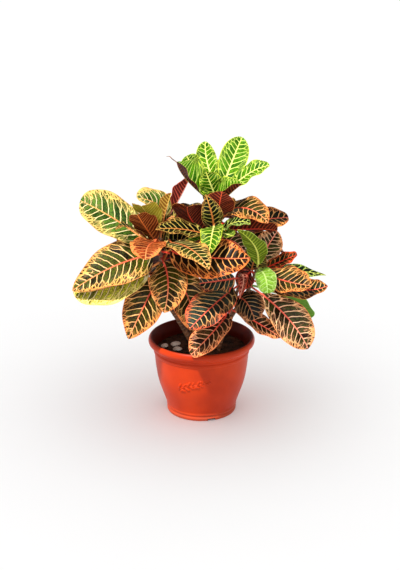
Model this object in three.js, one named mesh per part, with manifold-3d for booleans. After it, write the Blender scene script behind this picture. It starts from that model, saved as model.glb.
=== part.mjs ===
// A croton in a terracotta-coloured plastic pot: big waved leaves on seven stems that stand in dark soil.
// Millimetres, +Z up, +Y away from the viewer. The origin is on the floor, on the axis of the pot.
import * as THREE from "three";
import Module from "manifold-3d";

// Pot
const POT_SIDES = 40;
const POT_HEIGHT = 150;
const RIM_RADIUS = 102;
const FOOT_OUTER = 66;
const FOOT_INNER = 58;
const FOOT_HEIGHT = 5;
const NOTCH_ANGLES = [47, 167, 287];
const NOTCH_WIDTH = 15;
const NOTCH_HEIGHT = 4.6;

// Soil and pebbles
const SOIL_LEVEL = 125;
const SOIL_GAP = 0.4;
const SOIL_SIDES = 24;
const HOLE_BOTTOM = 88;
const HOLE_SIDES = 12;
const SEAT_GAP = 0.35;

// Stems and leaves
const STEM_SIDES = 7;
const STEM_FOOT = HOLE_BOTTOM + 0.35;
const JOINT_GAP = 0.4;
const HOLE_GAP = 0.55;
const SHOOT_STEP = 0.7;
const SHOOT_TIP = 2.6;
const PETIOLE_RADIUS = 1.9;
const PETIOLE_BASE = 10;
const PETIOLE_SHARE = 0.07;
const BLADE_THICKNESS = 1;
const RIB_THICKNESS = 2;
const TIP_HALF_WIDTH = 1.6;
const WAVE_HEIGHT = 2.5;
const WAVES_PER_BLADE = 2.5;
const WAVE_FULL_WIDTH = 20;
const LONG_LEAF = 100;
const LONG_PLACES = [0.05, 0.16, 0.3, 0.45, 0.6, 0.75, 0.89, 1];
const SHORT_PLACES = [0.08, 0.26, 0.48, 0.7, 0.88, 1];

// Colours
const POT_COLOUR = 0xcf4522;
const SOIL_COLOUR = 0x2c211b;
const PEBBLE_COLOUR = 0xb7ada4;
const BARK_COLOUR = 0x6b5645;
const LEAF_COLOUR = 0x6f7a2c;
const YOUNG_COLOUR = 0x9ccb2a;

// Outline of a blade: share of its half width at a place s from base (0) to tip (1).
const FORMS = {
  oval: [0.62, 0.6],
  wide: [0.5, 0.6],
  broad: [0.42, 0.62],
  round: [0.6, 0.42],
  point: [0.6, 0.9],
  egg: [0.5, 0.95],
  keen: [0.66, 0.8],
  late: [0.95, 0.75],
  blunt: [0.7, 0.32],
  slope: [0.42, 0.8],
};

// Path of each stem from the soil up, and its radius.
const STEMS = {
  leader: {
    radius: 5,
    path: [[6, 16, 128], [8, 20, 180], [14, 24, 250], [20, 22, 320], [28, 18, 380], [34, 14, 428]],
  },
  front: {
    radius: 4.5,
    path: [[10, -16, 128], [14, -22, 200], [18, -30, 280], [22, -34, 340], [24, -36, 378]],
  },
  left: {
    radius: 5,
    path: [
      [-16, -2, 128],
      [-30, -6, 158],
      [-46, -12, 190],
      [-62, -18, 222],
      [-72, -24, 270],
      [-76, -26, 325],
      [-76, -24, 380],
    ],
  },
  right: {
    radius: 4.5,
    path: [[32, 6, 128], [44, 4, 162], [66, 2, 204], [90, 0, 246], [105, -4, 292]],
  },
  low: {
    radius: 4,
    path: [[32, -18, 128], [40, -24, 160], [52, -28, 204], [66, -30, 248], [72, -26, 285]],
  },
  back_left: { radius: 5, path: [[-22, 36, 128], [-34, 56, 190], [-44, 72, 260], [-50, 82, 332]] },
  back_right: { radius: 5, path: [[28, 38, 128], [44, 62, 190], [54, 80, 260], [60, 92, 347]] },
};

// The dried thread that ends the left leaf of the crown.
const THREAD = [[-44, -12, 493], [-53, -10, 499], [-64, -9, 504]];
const THREAD_RADIUS = 0.9;

// Leafy pieces: heights of the stem each takes, and its leaves. A leaf is [height of its root on the stem,
// middle of the midrib, tip, width, fold in degrees, way its upper face looks, form].
const SHOOTS = [
  {
    name: "crown",
    stem: "leader",
    from: 398.4,
    to: 428,
    colour: YOUNG_COLOUR,
    thread: THREAD,
    leaves: [
      [400, [-25, -8, 457], [-45, -12, 495], 90, 40, [0.85, -0.32, 0.45], "blunt"],
      [408, [-10, 30, 466], [-28, 34, 494], 38, 10, [0.1, -1, 0.4], "round"],
      [426, [12, 42, 473], [7, 56, 516], 41, 18, [-0.1, -1, 0.5], "oval"],
      [424, [56, 32, 483], [75, 44, 527], 54, 16, [0.1, -1, 0.5], "oval"],
      [420, [33, 42, 454], [36, 72, 476], 50, 16, [0, -0.6, 1], "oval"],
      [412, [81, 6, 463], [124, -4, 485], 46, 12, [-0.2, -0.5, 1], "oval"],
      [400.6, [45, -14, 428], [73, -32, 459], 72, 44, [-0.75, 0, 0.6], "wide"],
      [406, [17, 4, 446], [8, 0, 472], 44, 14, [0.1, -1, 0.5], "oval"],
    ],
  },
  {
    name: "leaves_leader",
    stem: "leader",
    from: 292,
    to: 398,
    colour: LEAF_COLOUR,
    leaves: [
      [330, [-16, -12, 380], [-26, -50, 420], 76, 26, [0, 0.5, 1], "round"],
      [384, [79, -20, 409], [121, -48, 389], 61, 8, [0.05, -0.55, 1], "keen"],
      [366, [99, 44, 366], [165, 58, 367], 57, 10, [0, -0.5, 1], "round"],
      [350, [93, -6, 365], [140, -14, 364], 60, 14, [0, 0.9, 1], "oval"],
      [371, [30, -38, 411], [37, -50, 450], 62, 12, [0, 0.9, 1], "oval"],
      [340, [29, 22, 356], [3, 14, 341], 56, 12, [0, -0.6, 1], "oval"],
      [372, [-14, 70, 384], [-46, 98, 366], 64, 12, [-0.1, 0.4, 1], "oval"],
      [350, [22, 76, 370], [14, 120, 348], 70, 12, [0, 0.4, 1], "oval"],
      [390, [48, 50, 370], [74, 86, 366], 62, 12, [0.2, 0.3, 1], "oval"],
      [306, [8, 72, 306], [-4, 112, 270], 62, 12, [0, 0.5, 1], "oval"],
    ],
  },
  {
    name: "front_tip",
    stem: "front",
    from: 363.4,
    to: 378,
    colour: YOUNG_COLOUR,
    leaves: [
      [368, [18, -58, 410], [7, -64, 448], 41, 14, [0, -1, 0.35], "egg"],
      [372, [20, -92, 388], [13, -124, 355], 43, 16, [-0.25, -0.5, 1], "oval"],
      [370, [42, -60, 372], [57, -78, 374], 30, 14, [0.1, -0.5, 1], "oval"],
    ],
  },
  {
    name: "leaves_front",
    stem: "front",
    from: 334,
    to: 363,
    colour: LEAF_COLOUR,
    leaves: [
      [358, [-34, -52, 378], [-83, -74, 385], 56, 12, [0, -0.35, 1], "point"],
      [356, [57, -52, 390], [88, -61, 391], 39, 12, [0, -0.25, 1], "broad"],
      [346, [54, -36, 351], [80, -36, 328], 46, 12, [0, -0.7, 1], "point"],
      [340, [-3, -42, 349], [-25, -44, 336], 44, 12, [0, -0.8, 1], "point"],
    ],
  },
  {
    name: "leaves_left",
    stem: "left",
    from: 264,
    to: 380,
    colour: LEAF_COLOUR,
    leaves: [
      [322, [-153, -62, 314], [-236, -84, 271], 90, 8, [-0.35, -1, 0.8], "slope"],
      [308, [-166, -52, 269], [-236, -66, 262], 88, 14, [-0.2, -0.9, 1], "wide"],
      [316, [-61, -90, 292], [-68, -112, 239], 72, 10, [0, -1, 0.35], "keen"],
      [290, [-101, -60, 244], [-136, -78, 174], 80, 10, [-0.3, -1, 0.5], "keen"],
      [296, [-31, -56, 261], [-10, -72, 185], 72, 10, [0.2, -1, 0.5], "oval"],
      [328, [8, -96, 339], [87, -106, 342], 86, 4, [0.1, -1, 1], "keen"],
      [344, [-24, -136, 371], [13, -194, 351], 62, 4, [0.15, -0.35, 1], "point"],
      [326, [-154, -12, 381], [-223, -12, 421], 84, 12, [0.1, -0.9, 0.9], "round"],
      [372, [-80, -11, 409], [-118, -24, 429], 60, 12, [-0.1, -0.6, 1], "round"],
      [352, [-98, -40, 400], [-108, -70, 428], 58, 24, [0, 0.4, 1], "oval"],
      [334, [-101, -58, 383], [-114, -94, 419], 52, 20, [-0.2, 0.4, 1], "oval"],
      [326, [-126, -50, 379], [-156, -62, 381], 36, 10, [0, 0, 1], "point"],
      [346, [-94, -110, 367], [-98, -160, 357], 64, 12, [0, -0.45, 1], "oval"],
      [368, [-44, 16, 412], [-22, 24, 455], 40, 62, [-0.8, 0.3, 0.6], "oval"],
      [350, [-67, -32, 402], [-55, -34, 442], 34, 58, [-0.8, 0.3, 0.6], "oval"],
      [360, [-65, -26, 386], [-49, -24, 394], 24, 14, [0, -0.3, 1], "point"],
      [300, [-44, 4, 338], [-16, 14, 322], 64, 12, [0.3, -0.6, 1], "oval"],
      [304, [-67, 18, 302], [-56, 30, 267], 60, 12, [0.2, -0.7, 1], "oval"],
      [332, [-122, 26, 337], [-142, 42, 314], 76, 12, [-0.2, 0.2, 1], "oval"],
      [276, [-118, 34, 264], [-162, 66, 226], 66, 10, [-0.4, 0.4, 1], "oval"],
      [366, [-92, 30, 384], [-112, 74, 370], 60, 12, [0, 0.4, 1], "oval"],
    ],
  },
  {
    name: "leaves_right",
    stem: "right",
    from: 226,
    to: 292,
    colour: LEAF_COLOUR,
    leaves: [
      [280, [156, -38, 273], [203, -66, 274], 70, 12, [0, -0.55, 1], "keen"],
      [286, [159, 34, 271], [238, 38, 258], 52, 4, [0, -0.2, 1], "point"],
      [262, [181, -20, 249], [235, -32, 262], 64, 12, [0.05, -0.4, 1], "keen"],
      [250, [158, -36, 203], [201, -42, 139], 74, 10, [0.25, -1, 0.55], "late"],
      [252, [164, 10, 222], [210, 4, 184], 64, 8, [0.3, 0.7, 1], "round"],
      [284, [123, 46, 308], [145, 62, 339], 54, 12, [0.2, -1, 0.5], "oval"],
      [276, [146, 14, 292], [180, 14, 307], 34, 12, [0, -0.4, 1], "round"],
      [288, [98, -62, 347], [64, -90, 390], 40, 10, [-0.1, 0.5, 1], "broad"],
      [282, [115, -64, 295], [120, -80, 265], 39, 8, [0, -1, 0.6], "round"],
      [276, [87, -4, 275], [74, -4, 243], 38, 12, [0, -0.9, 0.6], "oval"],
      [272, [97, 12, 290], [118, 20, 313], 56, 12, [0.2, -0.8, 0.8], "oval"],
      [268, [152, 62, 250], [196, 100, 220], 68, 10, [0.2, 0.3, 1], "oval"],
      [232, [124, 58, 208], [152, 98, 170], 62, 10, [0.3, 0.5, 1], "oval"],
    ],
  },
  {
    name: "leaves_low",
    stem: "low",
    from: 202,
    to: 285,
    colour: LEAF_COLOUR,
    leaves: [
      [212, [26, -92, 199], [-19, -116, 158], 60, 12, [-0.3, -0.7, 1], "round"],
      [262, [22, -110, 253], [-21, -150, 223], 78, 10, [-0.2, -0.6, 1], "oval"],
      [214, [110, -40, 187], [148, -48, 164], 42, 12, [0.2, -0.7, 1], "keen"],
      [232, [80, -50, 239], [98, -62, 206], 62, 10, [0.2, -0.8, 1], "round"],
      [282, [78, -50, 280], [70, -66, 248], 20, 20, [-0.4, -0.6, 1], "point"],
      [276, [38, -50, 279], [-4, -58, 276], 60, 10, [0, -0.9, 0.6], "oval"],
    ],
  },
  {
    name: "leaves_back_left",
    stem: "back_left",
    from: 238,
    to: 332,
    colour: LEAF_COLOUR,
    leaves: [
      [300, [-108, 96, 318], [-166, 108, 292], 72, 12, [-0.3, 0, 1], "oval"],
      [316, [-92, 140, 330], [-124, 186, 298], 76, 12, [-0.4, 0.5, 1], "oval"],
      [326, [-46, 142, 352], [-44, 196, 322], 74, 12, [0, 0.5, 1], "oval"],
      [268, [-70, 132, 262], [-84, 176, 216], 70, 10, [-0.2, 0.6, 1], "oval"],
      [250, [-88, 96, 252], [-124, 112, 222], 62, 10, [-0.5, 0.3, 1], "oval"],
      [329, [-72, 104, 364], [-98, 118, 380], 56, 16, [0.3, -0.5, 0.6], "oval"],
      [296, [-8, 120, 310], [18, 150, 276], 60, 12, [0.3, 0.5, 1], "point"],
    ],
  },
  {
    name: "leaves_back_right",
    stem: "back_right",
    from: 238,
    to: 347,
    colour: LEAF_COLOUR,
    leaves: [
      [306, [114, 104, 308], [162, 116, 272], 72, 12, [0.3, 0, 1], "oval"],
      [322, [106, 146, 336], [138, 188, 300], 76, 12, [0.4, 0.5, 1], "oval"],
      [338, [56, 152, 362], [56, 198, 330], 72, 12, [0, 0.5, 1], "oval"],
      [276, [84, 140, 272], [98, 182, 226], 72, 10, [0.2, 0.6, 1], "oval"],
      [250, [104, 100, 250], [142, 108, 214], 62, 10, [0.5, 0.3, 1], "oval"],
      [344, [84, 108, 360], [112, 118, 372], 56, 16, [-0.3, -0.3, 0.8], "oval"],
      [342, [54, 126, 366], [40, 152, 370], 38, 18, [-0.2, 0, 1], "oval"],
      [300, [30, 140, 316], [4, 178, 290], 58, 12, [-0.3, 0.5, 1], "point"],
    ],
  },
];

const wasm = await Module();
wasm.setup();

// Joined and cut shapes are worked as closed solids.
function solidFrom(points, faces) {
  const vertProperties = new Float32Array(points.flatMap((p) => [p.x, p.y, p.z]));
  const triVerts = new Uint32Array(faces.flat());
  const solid = new wasm.Manifold(new wasm.Mesh({ numProp: 3, vertProperties, triVerts }));
  if (solid.volume() >= 0) {
    return solid;
  }
  const turned = new Uint32Array(faces.flatMap(([a, b, c]) => [a, c, b]));
  return new wasm.Manifold(new wasm.Mesh({ numProp: 3, vertProperties, triVerts: turned }));
}

function solidFromGeometry(geometry) {
  const plain = geometry.index ? geometry.toNonIndexed() : geometry;
  const position = plain.getAttribute("position");
  const points = [];
  const seen = new Map();
  const order = [];
  for (let i = 0; i < position.count; i += 1) {
    const p = new THREE.Vector3().fromBufferAttribute(position, i);
    const key = [p.x, p.y, p.z].map((c) => Math.round(c * 1000)).join(",");
    if (!seen.has(key)) {
      seen.set(key, points.length);
      points.push(p);
    }
    order.push(seen.get(key));
  }
  const faces = [];
  for (let i = 0; i < order.length; i += 3) {
    const [a, b, c] = order.slice(i, i + 3);
    if (a !== b && b !== c && c !== a) {
      faces.push([a, b, c]);
    }
  }
  return solidFrom(points, faces);
}

function geometryFrom(solid) {
  const mesh = solid.getMesh();
  const geometry = new THREE.BufferGeometry();
  geometry.setAttribute("position", new THREE.BufferAttribute(new Float32Array(mesh.vertProperties), 3));
  geometry.setIndex(new THREE.BufferAttribute(new Uint32Array(mesh.triVerts), 1));
  geometry.computeVertexNormals();
  return geometry;
}

function piece(name, solid, colour, roughness) {
  const material = new THREE.MeshStandardMaterial({ color: colour, roughness });
  const mesh = new THREE.Mesh(geometryFrom(solid), material);
  mesh.name = name;
  return mesh;
}

// A closed tube through rings of points, each ring with as many corners; both ends are closed flat.
function tubeSolid(rings, alike = false) {
  const sides = rings[0].length;
  const half = sides / 2;
  const points = rings.flat();
  const faces = [];
  for (let i = 0; i + 1 < rings.length; i += 1) {
    for (let k = 0; k < sides; k += 1) {
      const a = i * sides + k;
      const b = i * sides + ((k + 1) % sides);
      const c = a + sides;
      const d = b + sides;
      if (alike && k >= half) {
        faces.push([a, b, c], [b, d, c]);
      } else {
        faces.push([a, b, d], [a, d, c]);
      }
    }
  }
  const last = (rings.length - 1) * sides;
  for (let k = 1; k + 1 < sides; k += 1) {
    faces.push([0, k + 1, k], [last, last + k, last + k + 1]);
  }
  return solidFrom(points, faces);
}

const curves = {};
for (const [name, stem] of Object.entries(STEMS)) {
  const points = stem.path.map((p) => new THREE.Vector3(...p));
  curves[name] = new THREE.CatmullRomCurve3(points, false, "catmullrom", 0.5);
}

// The place on a stem at a height, found by halving: every stem only rises.
function placeAt(name, height) {
  let low = 0;
  let high = 1;
  for (let i = 0; i < 40; i += 1) {
    const middle = (low + high) / 2;
    if (curves[name].getPoint(middle).z < height) {
      low = middle;
    } else {
      high = middle;
    }
  }
  return { t: low, point: curves[name].getPoint(low) };
}

function ringAround(centre, direction, radius, sides) {
  const across = new THREE.Vector3(0, 1, 0).cross(direction).normalize();
  const other = direction.clone().cross(across).normalize();
  return Array.from({ length: sides }, (_, k) => {
    const angle = (2 * Math.PI * k) / sides;
    return centre
      .clone()
      .addScaledVector(across, radius * Math.cos(angle))
      .addScaledVector(other, radius * Math.sin(angle));
  });
}

// A stretch of a stem between two heights, tapering, in steps of about 26 mm.
function stemStretch(name, from, to, startRadius, endRadius) {
  const start = placeAt(name, from).t;
  const end = placeAt(name, to).t;
  const steps = Math.max(1, Math.round((to - from) / 26));
  return Array.from({ length: steps + 1 }, (_, i) => {
    const t = start + ((end - start) * i) / steps;
    const radius = startRadius + ((endRadius - startRadius) * i) / steps;
    return ringAround(curves[name].getPoint(t), curves[name].getTangent(t), radius, STEM_SIDES);
  });
}

// Half width of a blade at a place s, as a share of the greatest.
function widthShare(form, s) {
  const [a, b] = FORMS[form];
  const peak = a / (a + b);
  return (s ** a * (1 - s) ** b) / (peak ** a * (1 - peak) ** b);
}

// A leaf: a round petiole that spreads into a blade folded along its midrib, with gently waved edges.
// Its six-cornered rings hold the two edges and the midrib, on the upper face and again on the lower one.
function leafSolid(stemName, [height, middle, end, width, fold, face, form]) {
  const root = placeAt(stemName, height).point;
  const mid = new THREE.Vector3(...middle);
  const tip = new THREE.Vector3(...end);
  const pull = mid.clone().multiplyScalar(2).addScaledVector(root, -0.5).addScaledVector(tip, -0.5);
  const midrib = new THREE.QuadraticBezierCurve3(root, pull, tip);
  const length = midrib.getLength();
  const petiole = (PETIOLE_BASE + PETIOLE_SHARE * length) / length;
  const upper = new THREE.Vector3(...face).normalize();
  const lift = Math.sin(THREE.MathUtils.degToRad(fold));
  const spread = Math.cos(THREE.MathUtils.degToRad(fold));
  const phase = 0.1 * (mid.x + 2 * mid.y + 3 * mid.z);
  const places = length > LONG_LEAF ? LONG_PLACES : SHORT_PLACES;

  const frameAt = (t) => {
    const along = midrib.getTangent(t);
    const side = along.clone().cross(upper).normalize();
    return { centre: midrib.getPoint(t), side, up: side.clone().cross(along) };
  };
  const roundRing = (t, radius) => {
    const { centre, side, up } = frameAt(t);
    return Array.from({ length: 6 }, (_, k) => {
      const angle = THREE.MathUtils.degToRad(150 - 60 * k);
      return centre
        .clone()
        .addScaledVector(side, radius * Math.cos(angle))
        .addScaledVector(up, radius * Math.sin(angle));
    });
  };
  const bladeRing = (s) => {
    const { centre, side, up } = frameAt(petiole + (1 - petiole) * s);
    const half = s < 1 ? Math.max(TIP_HALF_WIDTH, (width / 2) * widthShare(form, s)) : TIP_HALF_WIDTH;
    const corner = (a, below) => {
      const swing = Math.sin(2 * Math.PI * WAVES_PER_BLADE * s + phase + (a > 0 ? 1.3 : 0));
      const wave = WAVE_HEIGHT * swing * a * a * Math.min(1, half / WAVE_FULL_WIDTH);
      const thick = (a === 0 ? RIB_THICKNESS * (1 - 0.4 * s) : BLADE_THICKNESS) / 2;
      const rise = Math.abs(a) * half * lift + wave + (below ? -thick : thick);
      return centre.clone().addScaledVector(side, a * half * spread).addScaledVector(up, rise);
    };
    const across = [-1, 0, 1];
    return [...across.map((a) => corner(a, false)), ...across.reverse().map((a) => corner(a, true))];
  };

  const rings = [roundRing(0, PETIOLE_RADIUS), roundRing(petiole, PETIOLE_RADIUS), ...places.map(bladeRing)];
  return tubeSolid(rings, true);
}

function potSolid() {
  const outer = [
    [0, FOOT_HEIGHT],
    [FOOT_INNER, FOOT_HEIGHT],
    [FOOT_INNER, 0],
    [FOOT_OUTER, 0],
    [67, 5],
    [65.3, 8],
    [67.5, 11.5],
    [67, 15],
    [72, 30],
    [77.5, 46],
    [84.5, 70],
    [87.9, 92],
    [89.3, 106],
    [90, 118.4],
    [91.7, 119.9],
    [91.8, 124.2],
    [90.6, 125.8],
    [90.8, 131],
    [97, 134],
    [RIM_RADIUS - 0.6, 138],
    [RIM_RADIUS, 144],
    [RIM_RADIUS - 2.6, POT_HEIGHT - 1],
    [RIM_RADIUS - 5.5, POT_HEIGHT],
  ];
  const inner = [
    [93.5, 145],
    [88, 132],
    [86, 105],
    [81.3, 70],
    [74.2, 46],
    [63.5, 15],
    [60, 8.5],
    [0, 8.5],
  ];
  const profile = [...outer, ...inner].map(([r, z]) => new THREE.Vector2(r, z));
  const turned = new THREE.LatheGeometry(profile, POT_SIDES);
  turned.rotateX(Math.PI / 2);
  let pot = solidFromGeometry(turned);
  for (const angle of NOTCH_ANGLES) {
    const notch = new THREE.BoxGeometry(30, NOTCH_WIDTH, NOTCH_HEIGHT * 2);
    notch.translate((FOOT_INNER + FOOT_OUTER) / 2, 0, 0);
    notch.rotateZ(THREE.MathUtils.degToRad(angle));
    pot = pot.subtract(solidFromGeometry(notch));
  }
  return pot;
}

const PEBBLES = [
  { name: "pebble_upper", place: [-50, 11], size: [19, 14, 10], turn: 20 },
  { name: "pebble_lower", place: [-46, -13], size: [18, 13, 9], turn: -15 },
  { name: "pebble_left", place: [-71, 4], size: [15, 12, 8], turn: 40 },
];

function pebbleSolid({ place, size, turn }, extra) {
  const ball = new THREE.IcosahedronGeometry(1, 1);
  ball.scale(size[0] / 2 + extra, size[1] / 2 + extra, size[2] / 2 + extra);
  ball.rotateZ(THREE.MathUtils.degToRad(turn));
  ball.translate(place[0], place[1], SOIL_LEVEL + size[2] * 0.2);
  return solidFromGeometry(ball);
}

// The soil fills the pot, a little heaped round the stems, with a plain hole for each of them.
function soilSolid() {
  const profile = [
    [0, 8.5 + SOIL_GAP],
    [59.6, 8.5 + SOIL_GAP],
    [63, 15.2],
    [73.6, 46],
    [80.7, 70],
    [85.2, 103],
    [86.2, SOIL_LEVEL - 2],
    [70, SOIL_LEVEL],
    [36, SOIL_LEVEL + 1.5],
    [0, SOIL_LEVEL + 3],
  ].map(([r, z]) => new THREE.Vector2(r, z));
  const turned = new THREE.LatheGeometry(profile, SOIL_SIDES);
  turned.rotateX(Math.PI / 2);
  let soil = solidFromGeometry(turned);
  for (const stem of Object.values(STEMS)) {
    const tall = 60;
    const wide = stem.radius + HOLE_GAP;
    const hole = new THREE.CylinderGeometry(wide, wide, tall, HOLE_SIDES);
    hole.rotateX(Math.PI / 2);
    hole.translate(stem.path[0][0], stem.path[0][1], HOLE_BOTTOM + tall / 2);
    soil = soil.subtract(solidFromGeometry(hole));
  }
  for (const pebble of PEBBLES) {
    soil = soil.subtract(pebbleSolid(pebble, SEAT_GAP));
  }
  return soil;
}

// The bare stem: straight in its hole, then along its path up to the first leaf.
function stemSolid(name, top) {
  const { radius, path } = STEMS[name];
  const foot = new THREE.Vector3(path[0][0], path[0][1], STEM_FOOT);
  const rings = stemStretch(name, path[0][2] + 0.01, top, radius, radius - SHOOT_STEP);
  rings[0] = ringAround(new THREE.Vector3(...path[0]), new THREE.Vector3(0, 0, 1), radius, STEM_SIDES);
  rings.unshift(ringAround(foot, new THREE.Vector3(0, 0, 1), radius, STEM_SIDES));
  return tubeSolid(rings);
}

function shootSolid({ stem, from, to, leaves, thread }) {
  const thick = STEMS[stem].radius - SHOOT_STEP;
  const path = STEMS[stem].path;
  const full = path[path.length - 1][2];
  const lowest = Math.min(...SHOOTS.filter((s) => s.stem === stem).map((s) => s.from));
  const taper = (z) => thick + ((SHOOT_TIP - thick) * (z - lowest)) / (full - lowest);
  let solid = tubeSolid(stemStretch(stem, from, to, taper(from), taper(to)));
  for (const leaf of leaves) {
    solid = solid.add(leafSolid(stem, leaf));
  }
  if (thread) {
    const line = new THREE.CatmullRomCurve3(thread.map((p) => new THREE.Vector3(...p)));
    const around = (t) => ringAround(line.getPoint(t), line.getTangent(t), THREAD_RADIUS, 5);
    solid = solid.add(tubeSolid([0, 0.5, 1].map(around)));
  }
  return solid;
}

const croton = new THREE.Group();
croton.name = "potted_croton";
croton.add(piece("pot", potSolid(), POT_COLOUR, 0.45));
croton.add(piece("soil", soilSolid(), SOIL_COLOUR, 0.95));
for (const pebble of PEBBLES) {
  croton.add(piece(pebble.name, pebbleSolid(pebble, 0), PEBBLE_COLOUR, 0.8));
}
for (const name of Object.keys(STEMS)) {
  const lowest = Math.min(...SHOOTS.filter((s) => s.stem === name).map((s) => s.from));
  croton.add(piece(`stem_${name}`, stemSolid(name, lowest - JOINT_GAP), BARK_COLOUR, 0.9));
}
for (const shoot of SHOOTS) {
  croton.add(piece(shoot.name, shootSolid(shoot), shoot.colour, 0.4));
}

export default croton;
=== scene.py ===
"""A croton in its pot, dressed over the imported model: pot, soil, pebbles, stems and a piece for each leaf."""
import itertools
import math

import bmesh
import bpy
from mathutils import Matrix, Vector, noise


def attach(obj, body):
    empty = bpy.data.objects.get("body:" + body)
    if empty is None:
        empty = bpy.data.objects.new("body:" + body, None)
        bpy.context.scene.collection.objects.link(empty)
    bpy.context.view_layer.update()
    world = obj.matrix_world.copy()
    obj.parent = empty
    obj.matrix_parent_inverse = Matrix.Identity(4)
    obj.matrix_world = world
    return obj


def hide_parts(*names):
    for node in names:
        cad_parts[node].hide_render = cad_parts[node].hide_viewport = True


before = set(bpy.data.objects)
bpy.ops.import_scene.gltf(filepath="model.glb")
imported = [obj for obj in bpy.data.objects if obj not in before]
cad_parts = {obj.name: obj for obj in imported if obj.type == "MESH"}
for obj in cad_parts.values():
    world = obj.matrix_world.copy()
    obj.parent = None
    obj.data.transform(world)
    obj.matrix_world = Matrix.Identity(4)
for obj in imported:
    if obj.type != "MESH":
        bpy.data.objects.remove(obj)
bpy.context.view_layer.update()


# Pot
# One moulded shell of satin orange-red plastic: a bowed wall under a shoulder band, a rolled rim, and a foot
# ring with three drain notches. It is turned from its outline in millimetres, with every corner eased.
MM = 0.001
POT_SIDES = 160
EASE_STEPS = 5
EASE_MOST = 0.48
WALL_HEIGHTS = range(46, 88, 6)
WALL_EASE = 2.5
WALL_MIDDLE = 70
WALL_RADIUS = 84.5
WALL_SLOPE = 0.2
WALL_BOW = 0.0036
POT_FOOT = [
    (0, 5, 0),
    (58, 5, 0.4),
    (58, 0, 0.5),
    (66, 0, 0.8),
    (67, 5, 1.2),
    (65.3, 8, 1.6),
    (67.5, 11.5, 1.8),
    (67, 15, 1.8),
    (72, 30, 7),
]
POT_BAND = [
    (87.9, 92, 8),
    (89.3, 106, 8),
    (90, 118.4, 0.7),
    (91.7, 119.9, 0.7),
    (91.8, 124.2, 0.8),
    (90.6, 125.8, 0.8),
    (90.8, 131, 1.2),
    (97, 134, 2),
    (101.4, 138, 2.5),
    (102, 144, 2.8),
    (99.4, 149, 2.4),
    (96.5, 150, 1.6),
]
POT_INSIDE = [
    (93.5, 145, 3),
    (88, 132, 4),
    (86, 105, 6),
    (81.3, 70, 10),
    (74.2, 46, 7),
    (63.5, 15, 3),
    (60, 8.5, 1.5),
    (0, 8.5, 0),
]
NOTCH_ANGLES = (47, 167, 287)
NOTCH_SIZE = (30, 15, 9.2)
NOTCH_RADIUS = 62


class Wire:
    """A socket of a node tree. A sum written on it in Python adds the Math or Vector Math nodes for it."""

    def __init__(self, tree, socket):
        self.tree = tree
        self.socket = socket

    @staticmethod
    def node(tree, kind, settings=None, values=None, out=0):
        """Adds a node, sets it up, fills or links its sockets, and gives one of its outputs."""
        made = tree.nodes.new(kind)
        for key, value in (settings or {}).items():
            setattr(made, key, value)
        for key, value in (values or {}).items():
            socket = made.inputs[key]
            if isinstance(value, Wire):
                tree.links.new(value.socket, socket)
            elif socket.type == "VECTOR" and isinstance(value, (int, float)):
                socket.default_value = (value, value, value)
            else:
                socket.default_value = value
        return Wire(tree, made.outputs[out]) if len(made.outputs) else None

    def math(self, operation, *others, last=False):
        """This value and the others through one Math node, with this one last if asked."""
        terms = (*others, self) if last else (self, *others)
        vector = any(isinstance(t, Wire) and t.socket.type == "VECTOR" for t in terms)
        kind = "ShaderNodeVectorMath" if vector else "ShaderNodeMath"
        return Wire.node(self.tree, kind, {"operation": operation}, dict(enumerate(terms)))

    def __add__(self, other):
        return self.math("ADD", other)

    def __radd__(self, other):
        return self.math("ADD", other, last=True)

    def __sub__(self, other):
        return self.math("SUBTRACT", other)

    def __rsub__(self, other):
        return self.math("SUBTRACT", other, last=True)

    def __mul__(self, other):
        return self.math("MULTIPLY", other)

    def __rmul__(self, other):
        return self.math("MULTIPLY", other, last=True)

    def __truediv__(self, other):
        return self.math("DIVIDE", other)

    def __pow__(self, other):
        return self.math("POWER", other)

    def __abs__(self):
        return self.math("ABSOLUTE")

    def rise(self, low, high):
        """0 below low, 1 above high, and an even swing between them."""
        values = {"Value": self, "From Min": low, "From Max": high}
        return Wire.node(self.tree, "ShaderNodeMapRange", {"interpolation_type": "SMOOTHSTEP"}, values)

    def blend(self, first, second):
        """The colour that lies at this share of the way from the first to the second."""
        values = {0: self, 6: first, 7: second}
        return Wire.node(self.tree, "ShaderNodeMix", {"data_type": "RGBA"}, values, 2)

    def parts(self):
        """The three numbers of a vector."""
        first = Wire.node(self.tree, "ShaderNodeSeparateXYZ", {}, {0: self}, "X")
        return [Wire(self.tree, out) for out in first.socket.node.outputs]

    def mottle(self, scale, detail=2.0):
        """Noise from 0 to 1 at this place."""
        values = {"Vector": self, "Scale": scale, "Detail": detail}
        return Wire.node(self.tree, "ShaderNodeTexNoise", {}, values, 0)

    def bump(self, depth, strength):
        """The normal of a surface whose height this is, at a depth in metres."""
        values = {"Height": self, "Distance": depth, "Strength": strength}
        return Wire.node(self.tree, "ShaderNodeBump", {}, values, "Normal")


def tint(code):
    """A colour written as six hex digits of its screen values, for a shader."""
    shares = [int(code[i : i + 2], 16) / 255 for i in (0, 2, 4)]
    return (*[s / 12.92 if s < 0.04045 else ((s + 0.055) / 1.055) ** 2.4 for s in shares], 1.0)


def surface(name, paint):
    """A material whose shader takes what paint gives for a place in the object's own coordinates."""
    material = bpy.data.materials.new(name)
    material.use_nodes = True
    tree = material.node_tree
    tree.nodes.clear()
    place = Wire.node(tree, "ShaderNodeTexCoord", out="Object")
    shader = Wire.node(tree, "ShaderNodeBsdfPrincipled", {}, paint(place), "BSDF")
    Wire.node(tree, "ShaderNodeOutputMaterial", {}, {"Surface": shader})
    return material


def shown(name, mesh, material=None):
    """A finished mesh as an object at the origin, with its material if it has none yet."""
    piece = bpy.data.objects.new(name, mesh)
    bpy.context.scene.collection.objects.link(piece)
    if material:
        mesh.materials.append(material)
    return piece


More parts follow.
